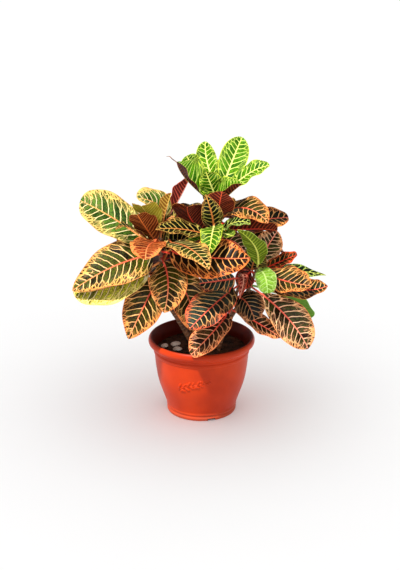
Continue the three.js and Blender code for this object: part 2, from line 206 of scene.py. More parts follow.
def placed(piece, slot, *nodes):
    """The piece rides on the plant's one body and stands for these nodes; the slot is not used."""
    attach(piece, "root")
    if nodes:
        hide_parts(*nodes)


def eased(corners):
    """The outline through these corners of radius and height, each rounded by the length that it gives."""
    line = []
    for i, (r, z, ease) in enumerate(corners):
        corner = Vector((r, z))
        if ease == 0:
            line.append(corner)
            continue
        before = Vector(corners[i - 1][:2]) - corner
        after = Vector(corners[i + 1][:2]) - corner
        start = corner + before.normalized() * min(ease, before.length * EASE_MOST)
        end = corner + after.normalized() * min(ease, after.length * EASE_MOST)
        for k in range(EASE_STEPS + 1):
            t = k / EASE_STEPS
            line.append(start * (1 - t) ** 2 + corner * 2 * t * (1 - t) + end * t * t)
    return line


def turned(name, line, sides):
    """A closed body of revolution, in metres, whose outline starts and ends on the axis."""
    mesh = bmesh.new()
    rings = []
    for r, z in line:
        if r < 1e-6:
            rings.append([mesh.verts.new((0, 0, z * MM))] * sides)
            continue
        angles = [2 * math.pi * k / sides for k in range(sides)]
        rings.append([mesh.verts.new((r * MM * math.cos(a), r * MM * math.sin(a), z * MM)) for a in angles])
    for low, high in zip(rings, rings[1:]):
        for k in range(sides):
            corners = (low[k], low[(k + 1) % sides], high[(k + 1) % sides], high[k])
            face = mesh.faces.new(list(dict.fromkeys(corners)))
            face.smooth = True
    data = bpy.data.meshes.new(name)
    mesh.to_mesh(data)
    mesh.free()
    return data


def applied(name, piece):
    """The piece with its modifiers worked into a plain mesh of its own."""
    graph = bpy.context.evaluated_depsgraph_get()
    mesh = bpy.data.meshes.new_from_object(piece.evaluated_get(graph), depsgraph=graph)
    bpy.data.objects.remove(piece)
    return shown(name, mesh)


def wall(z):
    """Radius of the bowed wall at a height between the foot and the band, for a number or a wire."""
    lift = z - WALL_MIDDLE
    return WALL_RADIUS + WALL_SLOPE * lift - WALL_BOW * lift * lift


def paint_pot(place):
    """Orange-red plastic, scuffed in places, dusty at the foot, with painted shade inside and atop the rim."""
    x, y, z = place.parts()
    facing = Wire.node(place.tree, "ShaderNodeNewGeometry", out="Normal").parts()
    cloud = place.mottle(14.0, 4.0)
    scuff = place.mottle(160.0, 5.0)
    grain = place.mottle(1400.0, 2.0)
    plastic = cloud.rise(0.3, 0.75).blend(tint("e0420a"), tint("c83408"))
    worn = (scuff.rise(0.62, 0.8) * 0.25).blend(plastic, tint("d8582c"))
    dust = ((1 - z.rise(0.0, 0.02)) * cloud * 0.5).blend(worn, tint("b98264"))
    # Faces that look inward above the soil are darkened and clouded unevenly: painted shade inside the pot.
    inward = (facing[0] * x + facing[1] * y) * -1
    painted_inner_shade = z.rise(0.09, 0.1) * inward.rise(0.02, 0.05)
    with_inner_shade = (painted_inner_shade * (0.55 + 0.45 * cloud)).blend(dust, tint("4a1a12"))
    # The top of the rim is darkened in patches: painted shade, as if cast by the leaves above.
    rim = z.rise(0.1475, 0.1495) * (0.25 + 0.5 * scuff)
    return {
        "Base Color": rim.blend(with_inner_shade, tint("8f3018")),
        "Roughness": 0.3 + 0.16 * scuff + 0.08 * cloud,
        "Specular IOR Level": 0.22,
        "Normal": (grain * 0.25 + scuff * 0.75).bump(0.0002, 0.35),
    }


pot_plastic = surface("pot_plastic", paint_pot)
bowed = [(wall(z), z, WALL_EASE) for z in WALL_HEIGHTS]
outline = eased([*POT_FOOT, *bowed, *POT_BAND, *POT_INSIDE])
blank = shown("pot_blank", turned("pot_blank", outline, POT_SIDES), pot_plastic)
cutters = bmesh.new()
for angle in NOTCH_ANGLES:
    made = bmesh.ops.create_cube(cutters, size=MM)["verts"]
    bmesh.ops.scale(cutters, vec=NOTCH_SIZE, verts=made)
    bmesh.ops.translate(cutters, vec=(NOTCH_RADIUS * MM, 0, 0), verts=made)
    bmesh.ops.rotate(cutters, verts=made, matrix=Matrix.Rotation(math.radians(angle), 3, "Z"))
notches = shown("pot_notches", bpy.data.meshes.new("pot_notches"))
cutters.to_mesh(notches.data)
cutters.free()
cut = blank.modifiers.new("notches", "BOOLEAN")
cut.operation = "DIFFERENCE"
cut.object = notches
cut.solver = "EXACT"
pot = applied("pot_shell", blank)
bpy.data.objects.remove(notches)
placed(pot, "pot", "pot")


# Sprig on the pot
# A leafy twig with berries, moulded in low relief on the front of the wall in the pot's own plastic. It is
# laid out flat in millimetres, its leaves set along the twig by rule, and then wrapped on to the wall.
SPRIG_WIDTH = 62
SPRIG_RISE = 27
SPRIG_ACROSS = -14.5
SPRIG_HEIGHT = 84
SPRIG_LEAVES = 15
SPRIG_LEAF = (6.2, 2.5, 2.4)
SPRIG_TWIG = 1.4
SPRIG_TWIG_FOOT = 1.2
SPRIG_TWIG_TAPER = 0.6
SPRIG_BERRY = 2.4
SPRIG_BERRY_FLAT = 0.8
SPRIG_BERRY_REACH = 1.1
SPRIG_BERRY_TURN = 1.7
SPRIG_BERRY_EVERY = 3
SPRIG_SWING = 2.5
SPRIG_CLIMB = 1.3
SPRIG_LEAF_REACH = 1.05
SPRIG_LEAF_TURN = 0.8
SPRIG_TURN_SWAY = (0.2, 2.4)
SPRIG_SIZE_SWAY = (0.12, 1.7)
SPRIG_SHRINK = 0.35


def tree_of(name, inputs):
    """An empty Geometry Nodes tree with these named inputs, and the wires that bring them in."""
    tree = bpy.data.node_groups.new(name, "GeometryNodeTree")
    for label, kind in inputs.items():
        tree.interface.new_socket(label, in_out="INPUT", socket_type="NodeSocket" + kind)
    tree.interface.new_socket("Made", in_out="OUTPUT", socket_type="NodeSocketGeometry")
    entry = tree.nodes.new("NodeGroupInput")
    return tree, {label: Wire(tree, entry.outputs[label]) for label in inputs}


def step(tree, kind, values=None, out=0, **settings):
    """One node of a Geometry Nodes tree, from its kind, what its sockets hold and its settings."""
    return Wire.node(tree, "GeometryNode" + kind, settings, values, out)


def ended(tree, shape, material, second=None):
    """Ends a tree: instances made real, and the material, with a second one for faces marked below."""
    solid = step(tree, "RealizeInstances", {"Geometry": shape})
    smooth = step(tree, "SetShadeSmooth", {"Geometry": solid})
    last = step(tree, "SetMaterial", {"Geometry": smooth, "Material": material})
    if second:
        under = step(tree, "InputNamedAttribute", {"Name": "below"}, data_type="BOOLEAN")
        values = {"Geometry": last, "Selection": under, "Material": second}
        last = step(tree, "SetMaterial", values)
    Wire.node(tree, "NodeGroupOutput", {}, {0: last})


def grown(name, tree, values, start=None):
    """What a tree makes from these inputs, as a plain mesh object."""
    carrier = bpy.data.objects.new("carrier", start or bpy.data.meshes.new("carrier"))
    bpy.context.scene.collection.objects.link(carrier)
    modifier = carrier.modifiers.new("grow", "NODES")
    modifier.node_group = tree
    for item in tree.interface.items_tree:
        if item.name in values:
            modifier[item.identifier] = values[item.name]
    return applied(name, carrier)


def line_of(points):
    """A poly curve through these points."""
    curve = bpy.data.curves.new("line", "CURVE")
    curve.dimensions = "3D"
    spline = curve.splines.new("POLY")
    spline.points.add(len(points) - 1)
    for point, place in zip(spline.points, points):
        point.co = (*place, 1)
    return curve


def vector(tree, x, y, z):
    """One vector out of three numbers or wires."""
    return Wire.node(tree, "ShaderNodeCombineXYZ", {}, {0: x, 1: y, 2: z})


def joined(tree, *shapes):
    """One geometry out of several."""
    join = tree.nodes.new("GeometryNodeJoinGeometry")
    for shape in shapes:
        tree.links.new(shape.socket, join.inputs[0])
    return Wire(tree, join.outputs[0])


def sprig_tree():
    """Grows the sprig along a flat twig: leaves to each side in turn, and a berry at every third spot."""
    inputs = {"Twig": "Geometry", "Leaves": "Int", "Leaf": "Vector", "Bar": "Float", "Berry": "Float"}
    tree, size = tree_of("pot_sprig", {**inputs, "Plastic": "Material"})
    circle = step(tree, "CurvePrimitiveCircle", {"Resolution": 10, "Radius": 1.0})
    share = step(tree, "SplineParameter")
    thick = size["Bar"] * (SPRIG_TWIG_FOOT - SPRIG_TWIG_TAPER * share)
    values = {"Curve": size["Twig"], "Profile Curve": circle, "Scale": thick, "Fill Caps": True}
    twig = step(tree, "CurveToMesh", values)
    spots = step(tree, "ResampleCurve", {"Curve": size["Twig"], "Count": size["Leaves"]})
    tangent = step(tree, "InputTangent").parts()
    index = step(tree, "InputIndex")
    side = 1 - 2 * index.math("MODULO", 2)
    most, pace = SPRIG_TURN_SWAY
    splay = SPRIG_LEAF_TURN + most * (index * pace).math("SINE")
    turn = tangent[1].math("ARCTAN2", tangent[0]) + side * splay
    most, pace = SPRIG_SIZE_SWAY
    scale = (1 - SPRIG_SHRINK * share) * (1 + most * (index * pace).math("COSINE"))
    ball = step(tree, "MeshIcoSphere", {"Radius": 1.0, "Subdivisions": 3})
    reach = size["Leaf"].parts()[0]
    shift = vector(tree, reach * SPRIG_LEAF_REACH, 0.0, 0.0)
    values = {"Geometry": ball, "Translation": shift, "Scale": size["Leaf"]}
    leaf = step(tree, "Transform", values)
    where = {"Points": spots, "Rotation": vector(tree, 0.0, 0.0, turn), "Scale": scale}
    leaves = step(tree, "InstanceOnPoints", {**where, "Instance": leaf})
    berry = size["Berry"]
    shift = vector(tree, reach * SPRIG_BERRY_REACH, 0.0, 0.0)
    round_size = vector(tree, berry, berry, berry * SPRIG_BERRY_FLAT)
    fruit = step(tree, "Transform", {"Geometry": ball, "Translation": shift, "Scale": round_size})
    bears = (index.math("MODULO", SPRIG_BERRY_EVERY) + 0.5).math("LESS_THAN", 1.0)
    aside = vector(tree, 0.0, 0.0, turn - side * SPRIG_BERRY_TURN)
    where = {"Points": spots, "Selection": bears, "Rotation": aside}
    berries = step(tree, "InstanceOnPoints", {**where, "Instance": fruit})
    flat = joined(tree, twig, leaves, berries)
    real = step(tree, "RealizeInstances", {"Geometry": flat})
    x, y, z = step(tree, "InputPosition").parts()
    height = y + SPRIG_HEIGHT
    radius = wall(height)
    angle = (x + SPRIG_ACROSS) / radius
    out = radius + z
    place = vector(tree, out * angle.math("SINE"), -1 * out * angle.math("COSINE"), height) * MM
    wrapped = step(tree, "SetPosition", {"Geometry": real, "Position": place})
    ended(tree, wrapped, size["Plastic"])
    return tree


def twig_place(x):
    """The twig climbs from lower left to upper right, in a slow double bend."""
    share = x / SPRIG_WIDTH + 0.5
    height = SPRIG_RISE * (share**SPRIG_CLIMB - 0.5) + SPRIG_SWING * math.sin(2 * math.pi * share)
    return (x, height, 0)


twig = line_of([twig_place(x) for x in range(-SPRIG_WIDTH // 2, SPRIG_WIDTH // 2 + 1)])
values = {"Leaves": SPRIG_LEAVES, "Leaf": SPRIG_LEAF, "Bar": SPRIG_TWIG, "Berry": SPRIG_BERRY}
sprig = grown("pot_sprig", sprig_tree(), {**values, "Plastic": pot_plastic}, twig)
placed(sprig, "pot")


# Soil
# Dark moist compost, a little heaped round the stems, with loose crumbs and chips of bark on top. Its body
# fills the pot; crumbs and chips are scattered over its face from fixed seeds.
SOIL_OUTLINE = [(0, 8.9), (59.6, 8.9), (63, 15.2), (73.6, 46), (80.7, 70), (85.2, 103), (85.9, 121)]
SOIL_SIDES = 96
SOIL_RINGS = 44
SOIL_EDGE = 122.5
SOIL_HEAP = 5.0
SOIL_LUMP = 1.1
SOIL_COARSE = 0.045
SOIL_FINE = 0.17
SOIL_FINE_SHARE = 0.6
SOIL_RADIUS = 86
RING_CROWD = 0.8
CRUMB_FLATTEST = 0.6
CRUMB_TURN = 3.0
LOOSE = {
    "soil_crumbs": (130000.0, (0.0004, 0.0004, 0.0004), (0.0016, 0.0014, 0.0011), 4),
    "soil_chips": (9000.0, (0.0012, 0.0006, 0.0003), (0.0042, 0.0016, 0.0007), 11),
}
SIZE_SEED = 5
TURN_SEED = 8


def soil_level(x, y):
    """Height of the compost in millimetres at a place on it."""
    out = math.hypot(x, y) / SOIL_RADIUS
    coarse = noise.noise(Vector((x, y, 3)) * SOIL_COARSE)
    fine = noise.noise(Vector((x, y, 9)) * SOIL_FINE)
    lump = SOIL_LUMP * (coarse + SOIL_FINE_SHARE * fine) * (1 - out**6)
    return SOIL_EDGE + SOIL_HEAP * (1 - out * out) + lump


def paint_soil(place):
    """Dark compost with paler grit."""
    cloud = place.mottle(70.0, 4.0)
    grit = place.mottle(600.0, 5.0)
    damp = cloud.rise(0.35, 0.7).blend(tint("28160e"), tint("5c3a26"))
    return {
        "Base Color": (grit.rise(0.58, 0.75) * 0.6).blend(damp, tint("a87c58")),
        "Roughness": 0.75 + 0.2 * grit,
        "Specular IOR Level": 0.2,
        "Normal": grit.bump(0.0012, 0.9),
    }


def crumb_tree():
    """Scatters rough lumps between two sizes over the upward faces of the soil."""
    inputs = {"Soil": "Geometry", "Density": "Float", "Least": "Vector", "Most": "Vector", "Seed": "Int"}
    tree, size = tree_of("soil_crumbs", {**inputs, "Matter": "Material"})
    normal = step(tree, "InputNormal").parts()[2]
    values = {"Mesh": size["Soil"], "Selection": normal.math("GREATER_THAN", CRUMB_FLATTEST)}
    values.update({"Density": size["Density"], "Seed": size["Seed"]})
    spots = step(tree, "DistributePointsOnFaces", values, "Points")
    ball = step(tree, "MeshIcoSphere", {"Radius": 1.0, "Subdivisions": 1})
    place = step(tree, "InputPosition")
    rough = place * (0.75 + 0.5 * place.mottle(1.3, 2.0))
    lump = step(tree, "SetPosition", {"Geometry": ball, "Position": rough})
    random = {"data_type": "FLOAT_VECTOR"}
    values = {"Min": size["Least"], "Max": size["Most"], "Seed": SIZE_SEED}
    scale = Wire.node(tree, "FunctionNodeRandomValue", random, values)
    values = {"Min": (-CRUMB_TURN,) * 3, "Max": (CRUMB_TURN,) * 3, "Seed": TURN_SEED}
    turn = Wire.node(tree, "FunctionNodeRandomValue", random, values)
    where = {"Points": spots, "Instance": lump, "Rotation": turn, "Scale": scale}
    ended(tree, step(tree, "InstanceOnPoints", where), size["Matter"])
    return tree


compost = surface("compost", paint_soil)
top = [(SOIL_RADIUS * (1 - k / SOIL_RINGS) ** RING_CROWD, SOIL_EDGE) for k in range(SOIL_RINGS + 1)]
soil = shown("soil_body", turned("soil_body", [*SOIL_OUTLINE, *top], SOIL_SIDES), compost)
for vertex in soil.data.vertices:
    if vertex.co.z > (SOIL_EDGE - 1) * MM:
        vertex.co.z = soil_level(vertex.co.x / MM, vertex.co.y / MM) * MM
placed(soil, "soil", "soil")
crumbs = crumb_tree()
for name, (density, least, most, seed) in LOOSE.items():
    values = {"Density": density, "Least": least, "Most": most, "Seed": seed, "Matter": compost}
    placed(grown(name, crumbs, values, soil.data.copy()), "soil")


# Pebbles
# Three pale river pebbles, worn round and smooth, that lie half sunk in the compost on the left. Each is a
# ball pressed to its own length, width and height in millimetres, swollen unevenly, and turned.
PEBBLES = {
    "pebble_upper": ((-50, 11), (19, 14, 10), 20),
    "pebble_lower": ((-46, -13), (18, 13, 9), -15),
    "pebble_left": ((-71, 4), (15, 12, 8), 40),
}
PEBBLE_BASE = 125
PEBBLE_SINK = 0.2
PEBBLE_SWELL = 0.16


def paint_pebble(place):
    """Pale clouded stone with a few dark specks."""
    cloud = place.mottle(90.0, 3.0)
    speck = place.mottle(1500.0, 3.0)
    stone = cloud.rise(0.3, 0.7).blend(tint("e0c8b4"), tint("faecdc"))
    return {
        "Base Color": (speck.rise(0.6, 0.7) * 0.5).blend(stone, tint("6f675f")),
        "Roughness": 0.5 + 0.2 * speck,
        "Normal": speck.bump(0.0002, 0.5),
    }


river_stone = surface("river_stone", paint_pebble)
for name, (spot, size, turn) in PEBBLES.items():
    lump = bmesh.new()
    bmesh.ops.create_icosphere(lump, subdivisions=5, radius=0.5)
    for vertex in lump.verts:
        swell = 1 + PEBBLE_SWELL * noise.noise(vertex.co * 2.2 + Vector(spot).to_3d())
        vertex.co = Vector([c * s * swell for c, s in zip(vertex.co, size)])
    bmesh.ops.rotate(lump, verts=lump.verts, matrix=Matrix.Rotation(math.radians(turn), 3, "Z"))
    bmesh.ops.translate(lump, verts=lump.verts, vec=(*spot, PEBBLE_BASE + size[2] * PEBBLE_SINK))
    bmesh.ops.scale(lump, verts=lump.verts, vec=(MM, MM, MM))
    for face in lump.faces:
        face.smooth = True
    mesh = bpy.data.meshes.new(name)
    lump.to_mesh(mesh)
    lump.free()
    placed(shown(name + "_stone", mesh, river_stone), "pebble", name)


# Stems
# Seven woody stems that rise out of the compost, brown and knobbly with the scars of old leaves below, and
# thinner, red and green towards their leafy tops. Each is a tube along its own path in millimetres.
STEMS = {
    "leader": (5, [(6, 16, 128), (8, 20, 180), (14, 24, 250), (20, 22, 320), (28, 18, 380), (34, 14, 428)]),
    "front": (4.5, [(10, -16, 128), (14, -22, 200), (18, -30, 280), (22, -34, 340), (24, -36, 378)]),
    "left": (
        5,
        [
            (-16, -2, 128), (-30, -6, 158), (-46, -12, 190), (-62, -18, 222),
            (-72, -24, 270), (-76, -26, 325), (-76, -24, 380),
        ],
    ),
    "right": (4.5, [(32, 6, 128), (44, 4, 162), (66, 2, 204), (90, 0, 246), (105, -4, 292)]),
    "low": (4, [(32, -18, 128), (40, -24, 160), (52, -28, 204), (66, -30, 248), (72, -26, 285)]),
    "back_left": (5, [(-22, 36, 128), (-34, 56, 190), (-44, 72, 260), (-50, 82, 332)]),
    "back_right": (5, [(28, 38, 128), (44, 62, 190), (54, 80, 260), (60, 92, 347)]),
}
LEAFY = {
    "leader": (292, 428),
    "front": (334, 378),
    "left": (264, 380),
    "right": (226, 292),
    "low": (202, 285),
    "back_left": (238, 332),
    "back_right": (238, 347),
}
STEM_FOOT = 92
STEM_GAP = 0.2
STEM_STEP = 4
STEM_SLIM = 0.7
STEM_TIP = 2.6
SCAR_STEP = 8.5
SCAR_SWELL = 0.13
SCAR_WIDTH = 0.13
TUBE_STEP = 1.3
TUBE_SIDES = 18
KNOB_SCALE = 0.16
KNOB_HEIGHT = 1.1
YOUNG_START = 0.35
HALVINGS = 40


def stem_place(name, height):
    """The point of a stem at a height: a smooth line through its path, searched by halves."""
    path = [Vector(p) for p in STEMS[name][1]]
    line = [path[0] * 2 - path[1], *path, path[-1] * 2 - path[-2]]
    low, high = 0.0, len(path) - 1.0
    for _ in range(HALVINGS):
        middle = (low + high) / 2
        k = min(int(middle), len(path) - 2)
        t = middle - k
        a, b, c, d = line[k : k + 4]
        bend = a - b * 2.5 + c * 2 - d / 2
        spot = b + (c - a) * t / 2 + bend * t * t + (b * 3 - a - c * 3 + d) * t**3 / 2
        if spot.z < height:
            low = middle
        else:
            high = middle
    return spot


def stored(tree, shape, name, value, kind="FLOAT_VECTOR", domain="POINT"):
    """The geometry with this value stored on it under a name, for its material to read."""
    values = {"Geometry": shape, "Name": name, "Value": value}
    return step(tree, "StoreNamedAttribute", values, data_type=kind, domain=domain)


def read_mark(tree, name):
    """The three numbers that are stored on a surface under a name."""
    return Wire.node(tree, "ShaderNodeAttribute", {"attribute_name": name}, out="Vector").parts()


def paint_bark(place):
    """Streaked brown wood that turns green and red where it is young, with paler scars."""
    young, scar, _ = read_mark(place.tree, "stem")
    cloud = place.mottle(120.0, 4.0)
    streak = vector(place.tree, *[p * s for p, s in zip(place.parts(), (1.0, 1.0, 0.2))]).mottle(900.0, 3.0)
    wood = cloud.rise(0.3, 0.7).blend(tint("40200f"), tint("a8683c"))
    lined = (streak.rise(0.45, 0.7) * 0.6).blend(wood, tint("3c2418"))
    green = young.blend(lined, cloud.blend(tint("4c4a22"), tint("6a2a1e")))
    return {
        "Base Color": (scar * 0.6).blend(green, tint("a08c74")),
        "Roughness": 0.8 - 0.3 * young,
        "Normal": (streak * 0.6 + cloud * 0.4).bump(0.0006, 0.8),
    }


def stem_tree():
    """Grows a knobbly tube along a line, with a scar at every step, marked with its youth for the bark."""
    inputs = {"Line": "Geometry", "Start": "Float", "End": "Float", "Young": "Float", "Younger": "Float"}
    tree, size = tree_of("croton_stem", {**inputs, "Step": "Float", "Bark": "Material"})
    share = step(tree, "SplineParameter")
    length = Wire(tree, share.socket.node.outputs["Length"])
    values = {"Curve": size["Line"], "Length": TUBE_STEP}
    even = step(tree, "ResampleCurve", values, mode="LENGTH")
    part = (length / size["Step"]).math("FRACT")
    scar = 1 - abs(part - 0.5).rise(0.0, SCAR_WIDTH)
    young = size["Young"] + (size["Younger"] - size["Young"]) * share
    marked = stored(tree, even, "stem", vector(tree, young, scar, share))
    radius = (size["Start"] + (size["End"] - size["Start"]) * share) * (1 + SCAR_SWELL * scar)
    circle = step(tree, "CurvePrimitiveCircle", {"Resolution": TUBE_SIDES, "Radius": 1.0})
    values = {"Curve": marked, "Profile Curve": circle, "Scale": radius, "Fill Caps": True}
    tube = step(tree, "CurveToMesh", values)
    place = step(tree, "InputPosition")
    swell = step(tree, "InputNormal") * ((place.mottle(KNOB_SCALE, 3.0) - 0.5) * KNOB_HEIGHT)
    rough = step(tree, "SetPosition", {"Geometry": tube, "Offset": swell})
    small = step(tree, "Transform", {"Geometry": rough, "Scale": (MM, MM, MM)})
    ended(tree, small, size["Bark"])
    return tree


def stem_line(name, low, high):
    """The points of a stem between two heights."""
    steps = max(2, round((high - low) / STEM_STEP))
    return [stem_place(name, low + (high - low) * k / steps) for k in range(steps + 1)]


bark = surface("bark", paint_bark)
stem = stem_tree()


def stem_piece(name, stem_name, low, high, slot, node):
    """A stretch of a stem between two heights, which stands for this node."""
    thick, path = STEMS[stem_name]
    slim = thick - STEM_SLIM
    foot = path[0]
    start, top = LEAFY[stem_name]
    radii = []
    youth = []
    for z in (low, high):
        leafy = (z - start) / (top - start)
        bare = thick - STEM_SLIM * (z - foot[2]) / (start - foot[2])
        radii.append(slim + (STEM_TIP - slim) * leafy if leafy > 0 else min(thick, bare))
        youth.append(min(1.0, max(0.0, YOUNG_START + (1 - YOUNG_START) * leafy)))
    line = stem_line(stem_name, max(low, foot[2] + 0.1), high)
    if low < foot[2]:
        line.insert(0, (foot[0], foot[1], low))
    values = {"Start": radii[0], "End": radii[1], "Young": youth[0], "Younger": youth[1]}
    placed(grown(name, stem, {**values, "Step": SCAR_STEP, "Bark": bark}, line_of(line)), slot, node)


for name in STEMS:
    stem_piece("wood_" + name, name, STEM_FOOT, LEAFY[name][0] - STEM_GAP, "bark", "stem_" + name)


# Leaves
# A leaf is a round stalk that opens into a leathery blade, folded along its midrib, puckered between its side
# veins, with gently waved edges. Dark islands lie between its pale veins and break up towards the margin and
# the tip. Each leaf is grown from its own midrib, width and form: how the blade swells and how it tapers.
FORMS = {
    "oval": (0.62, 0.6),
    "wide": (0.5, 0.6),
    "broad": (0.42, 0.62),
    "round": (0.6, 0.42),
    "point": (0.6, 0.9),
    "egg": (0.5, 0.95),
    "keen": (0.66, 0.8),
    "late": (0.95, 0.75),
    "blunt": (0.7, 0.32),
    "slope": (0.42, 0.8),
}
LEAF_ROWS = 78
STALK_ROWS = 6
LEAF_SIDES = 48
STALK_BASE = 10
STALK_SHARE = 0.07
STALK_RADIUS = 1.9
BLADE_THICKNESS = 0.8
ROW_CROWD = 0.13
RIB_SWELL = 1.1
RIB_WIDTH = 1.7
RIB_ABOVE = 0.25
RIB_SHARE = 0.8
RIB_TAPER = 0.6
WAVE_HEIGHT = 2.5
WAVE_SHIFT = 1.3
WAVE_FULL = 20
WAVES = 2.5
PUCKER = 0.5
PUCKER_FULL = 15
PUCKER_STARTS = (0.02, 0.25)
PUCKER_ENDS = (0.75, 1.0)
VEINS_LEAST = 4
VEIN_STEP = 21
YOUNG_VEINS = 1.1
VEIN_SLANT = 0.5
VEIN_CURVE = 0.35
VEIN_DRIFT = 0.5
DRIFT_SCALE = 0.09
CAMBER = 0.045
BLADE_OPENS = 0.08
BLADE_STARTS = 0.0001
STALK_RUN = 0.12
SEED_STEP = 0.37
LENGTH_STEPS = 60
MERGE = 0.00001
SEED_SPREAD = 17
CLOUD = 0.05
VEIN_SIDES = (0.03, 0.12)
VEIN_WOBBLE = 0.04
VEIN_FADE = 0.85
FORK_FIRST = 0.36
FORK_SPREAD = 0.34
FORK_OPENS = 0.4
NET_CELLS = (1.9, 0.13)
NET_WIDEST = 0.28
BRINK = 0.38
ROOT_WIDTH = 9
RIM = (0.955, 0.985)
RIB_HALF = 2.0
RIB_NARROWING = 0.62
STALK_ENDS = (-0.5, 3.0)
LEAF_SHINE = 0.1

# Colours of a leaf: islands deep and mid, side veins, net towards the margin, rim, midrib at its base and
# tip, lower face and its veins, and how far the islands give way to the net (below 0, hardly at all).
LOOKS = {
    "lime": ("1e5203 5a9208 dcee78 a8d030 d4e448 f4f690 f0f47c 30100a b0582a", -0.3),
    "green": ("163a02 407404 d4e44c 94bc20 c8dc30 e8e884 e4e268 6a7a2a c0c060", -0.2),
    "sunny": ("163008 5c7e2a f2f6c2 eadf7a eab064 ea9254 f0b868 6e3a20 d08850", 0.3),
    "shade": ("080c02 3e4c10 f0ea92 e6cc5c ee9c58 dc7440 e8a45c 6e3a20 d08850", 0.25),
    "gold": ("120502 4a520e f0e6a4 ecca5c e68e4c e46444 f0a060 7a2c1a d07848", 0.35),
    # A lighter, yellower copy of gold: the leaf's own yellow, lightened further as painted light, since the
    # leaf above shades it.
    "bright": ("3a3c08 dede40 fcfce0 fcfc88 fcc878 ffac64 ffd478 7a2c1a d07848", 0.35),
    "ember": ("180702 44420c ecc87c eab052 ec8446 d8523e e89460 5e1c12 c05a34", 0.3),
    "flame": ("0e0402 2a1c06 f0cc6c ec9a40 f4803a ec4c38 f47848 5e1c12 c05a34", 0.2),
    "rosy": ("1c0602 40421a fce0b0 fcce8a fc9c5a ec6450 fca080 5e1c12 c05a34", 0.35),
    "coal": ("200604 443418 fad09c faae6c f89058 fc5c48 fc9468 5e1c12 c05a34", 0.3),
    "fire": ("50180a a8441a dc9450 d07838 e48844 d8683c e09a5c 6a2018 d06838", 0.3),
    "night": ("100e0a 384438 e2cc84 dcae58 e05034 d8503e ec6450 3e1410 b0402c", 0.1),
    "dusk": ("0a0402 2c3010 e6d884 e0b858 e49448 f43c30 fc7460 340c06 c8542e", 0.15),
    "wine": ("1c0604 3c120a b05c3c a83c24 c44428 c83828 d05840 240604 84200f", 0.2),
    "dark": ("030302 101a06 bcc460 9ca046 d09a4c c8743a d89848 3c100c 984828", 0.05),
    "black": ("020202 0a0c04 9c8658 7a6038 bc7c50 a04830 a06440 2c0c08 783820", 0.05),
    "leafgreen": ("030a02 0c240a b4d474 90c050 c8e470 d4d464 ccd45c 4c5e0e b8cc40", 0.05),
    "backgreen": ("030a02 0c2408 a8e156 89ce3f bff45a 88b850 88b850 6cac38 88b850", 0.05),
    "scarlet": ("4e0c0c 80180f d08068 a02c1a c0401f d89078 d08870 3c0806 e86450", 0.5),
    "blood": ("080602 262a08 d89a4a d04a20 fc5a24 d03020 e43a24 3e0e0c a83020", 0.3),
    "pale": ("5c7e1c 80ac38 aacc78 90b050 b0c878 b0cc74 a8cc70 8ea05c c8cc8c", -0.5),
    "olive": ("2c3c18 6c7c2c a89c48 988c38 b8884a b87840 b88850 9c8c20 f0e868", 0.4),
    "rust": ("3a1808 5c3814 c08848 b06c30 c8783c c87840 c88c50 74490f f8d060", 0.4),
    "umber": ("3a1808 5c3814 c08848 b06c30 c8783c c0602c c88c50 4c1a08 f08c40", 0.4),
}


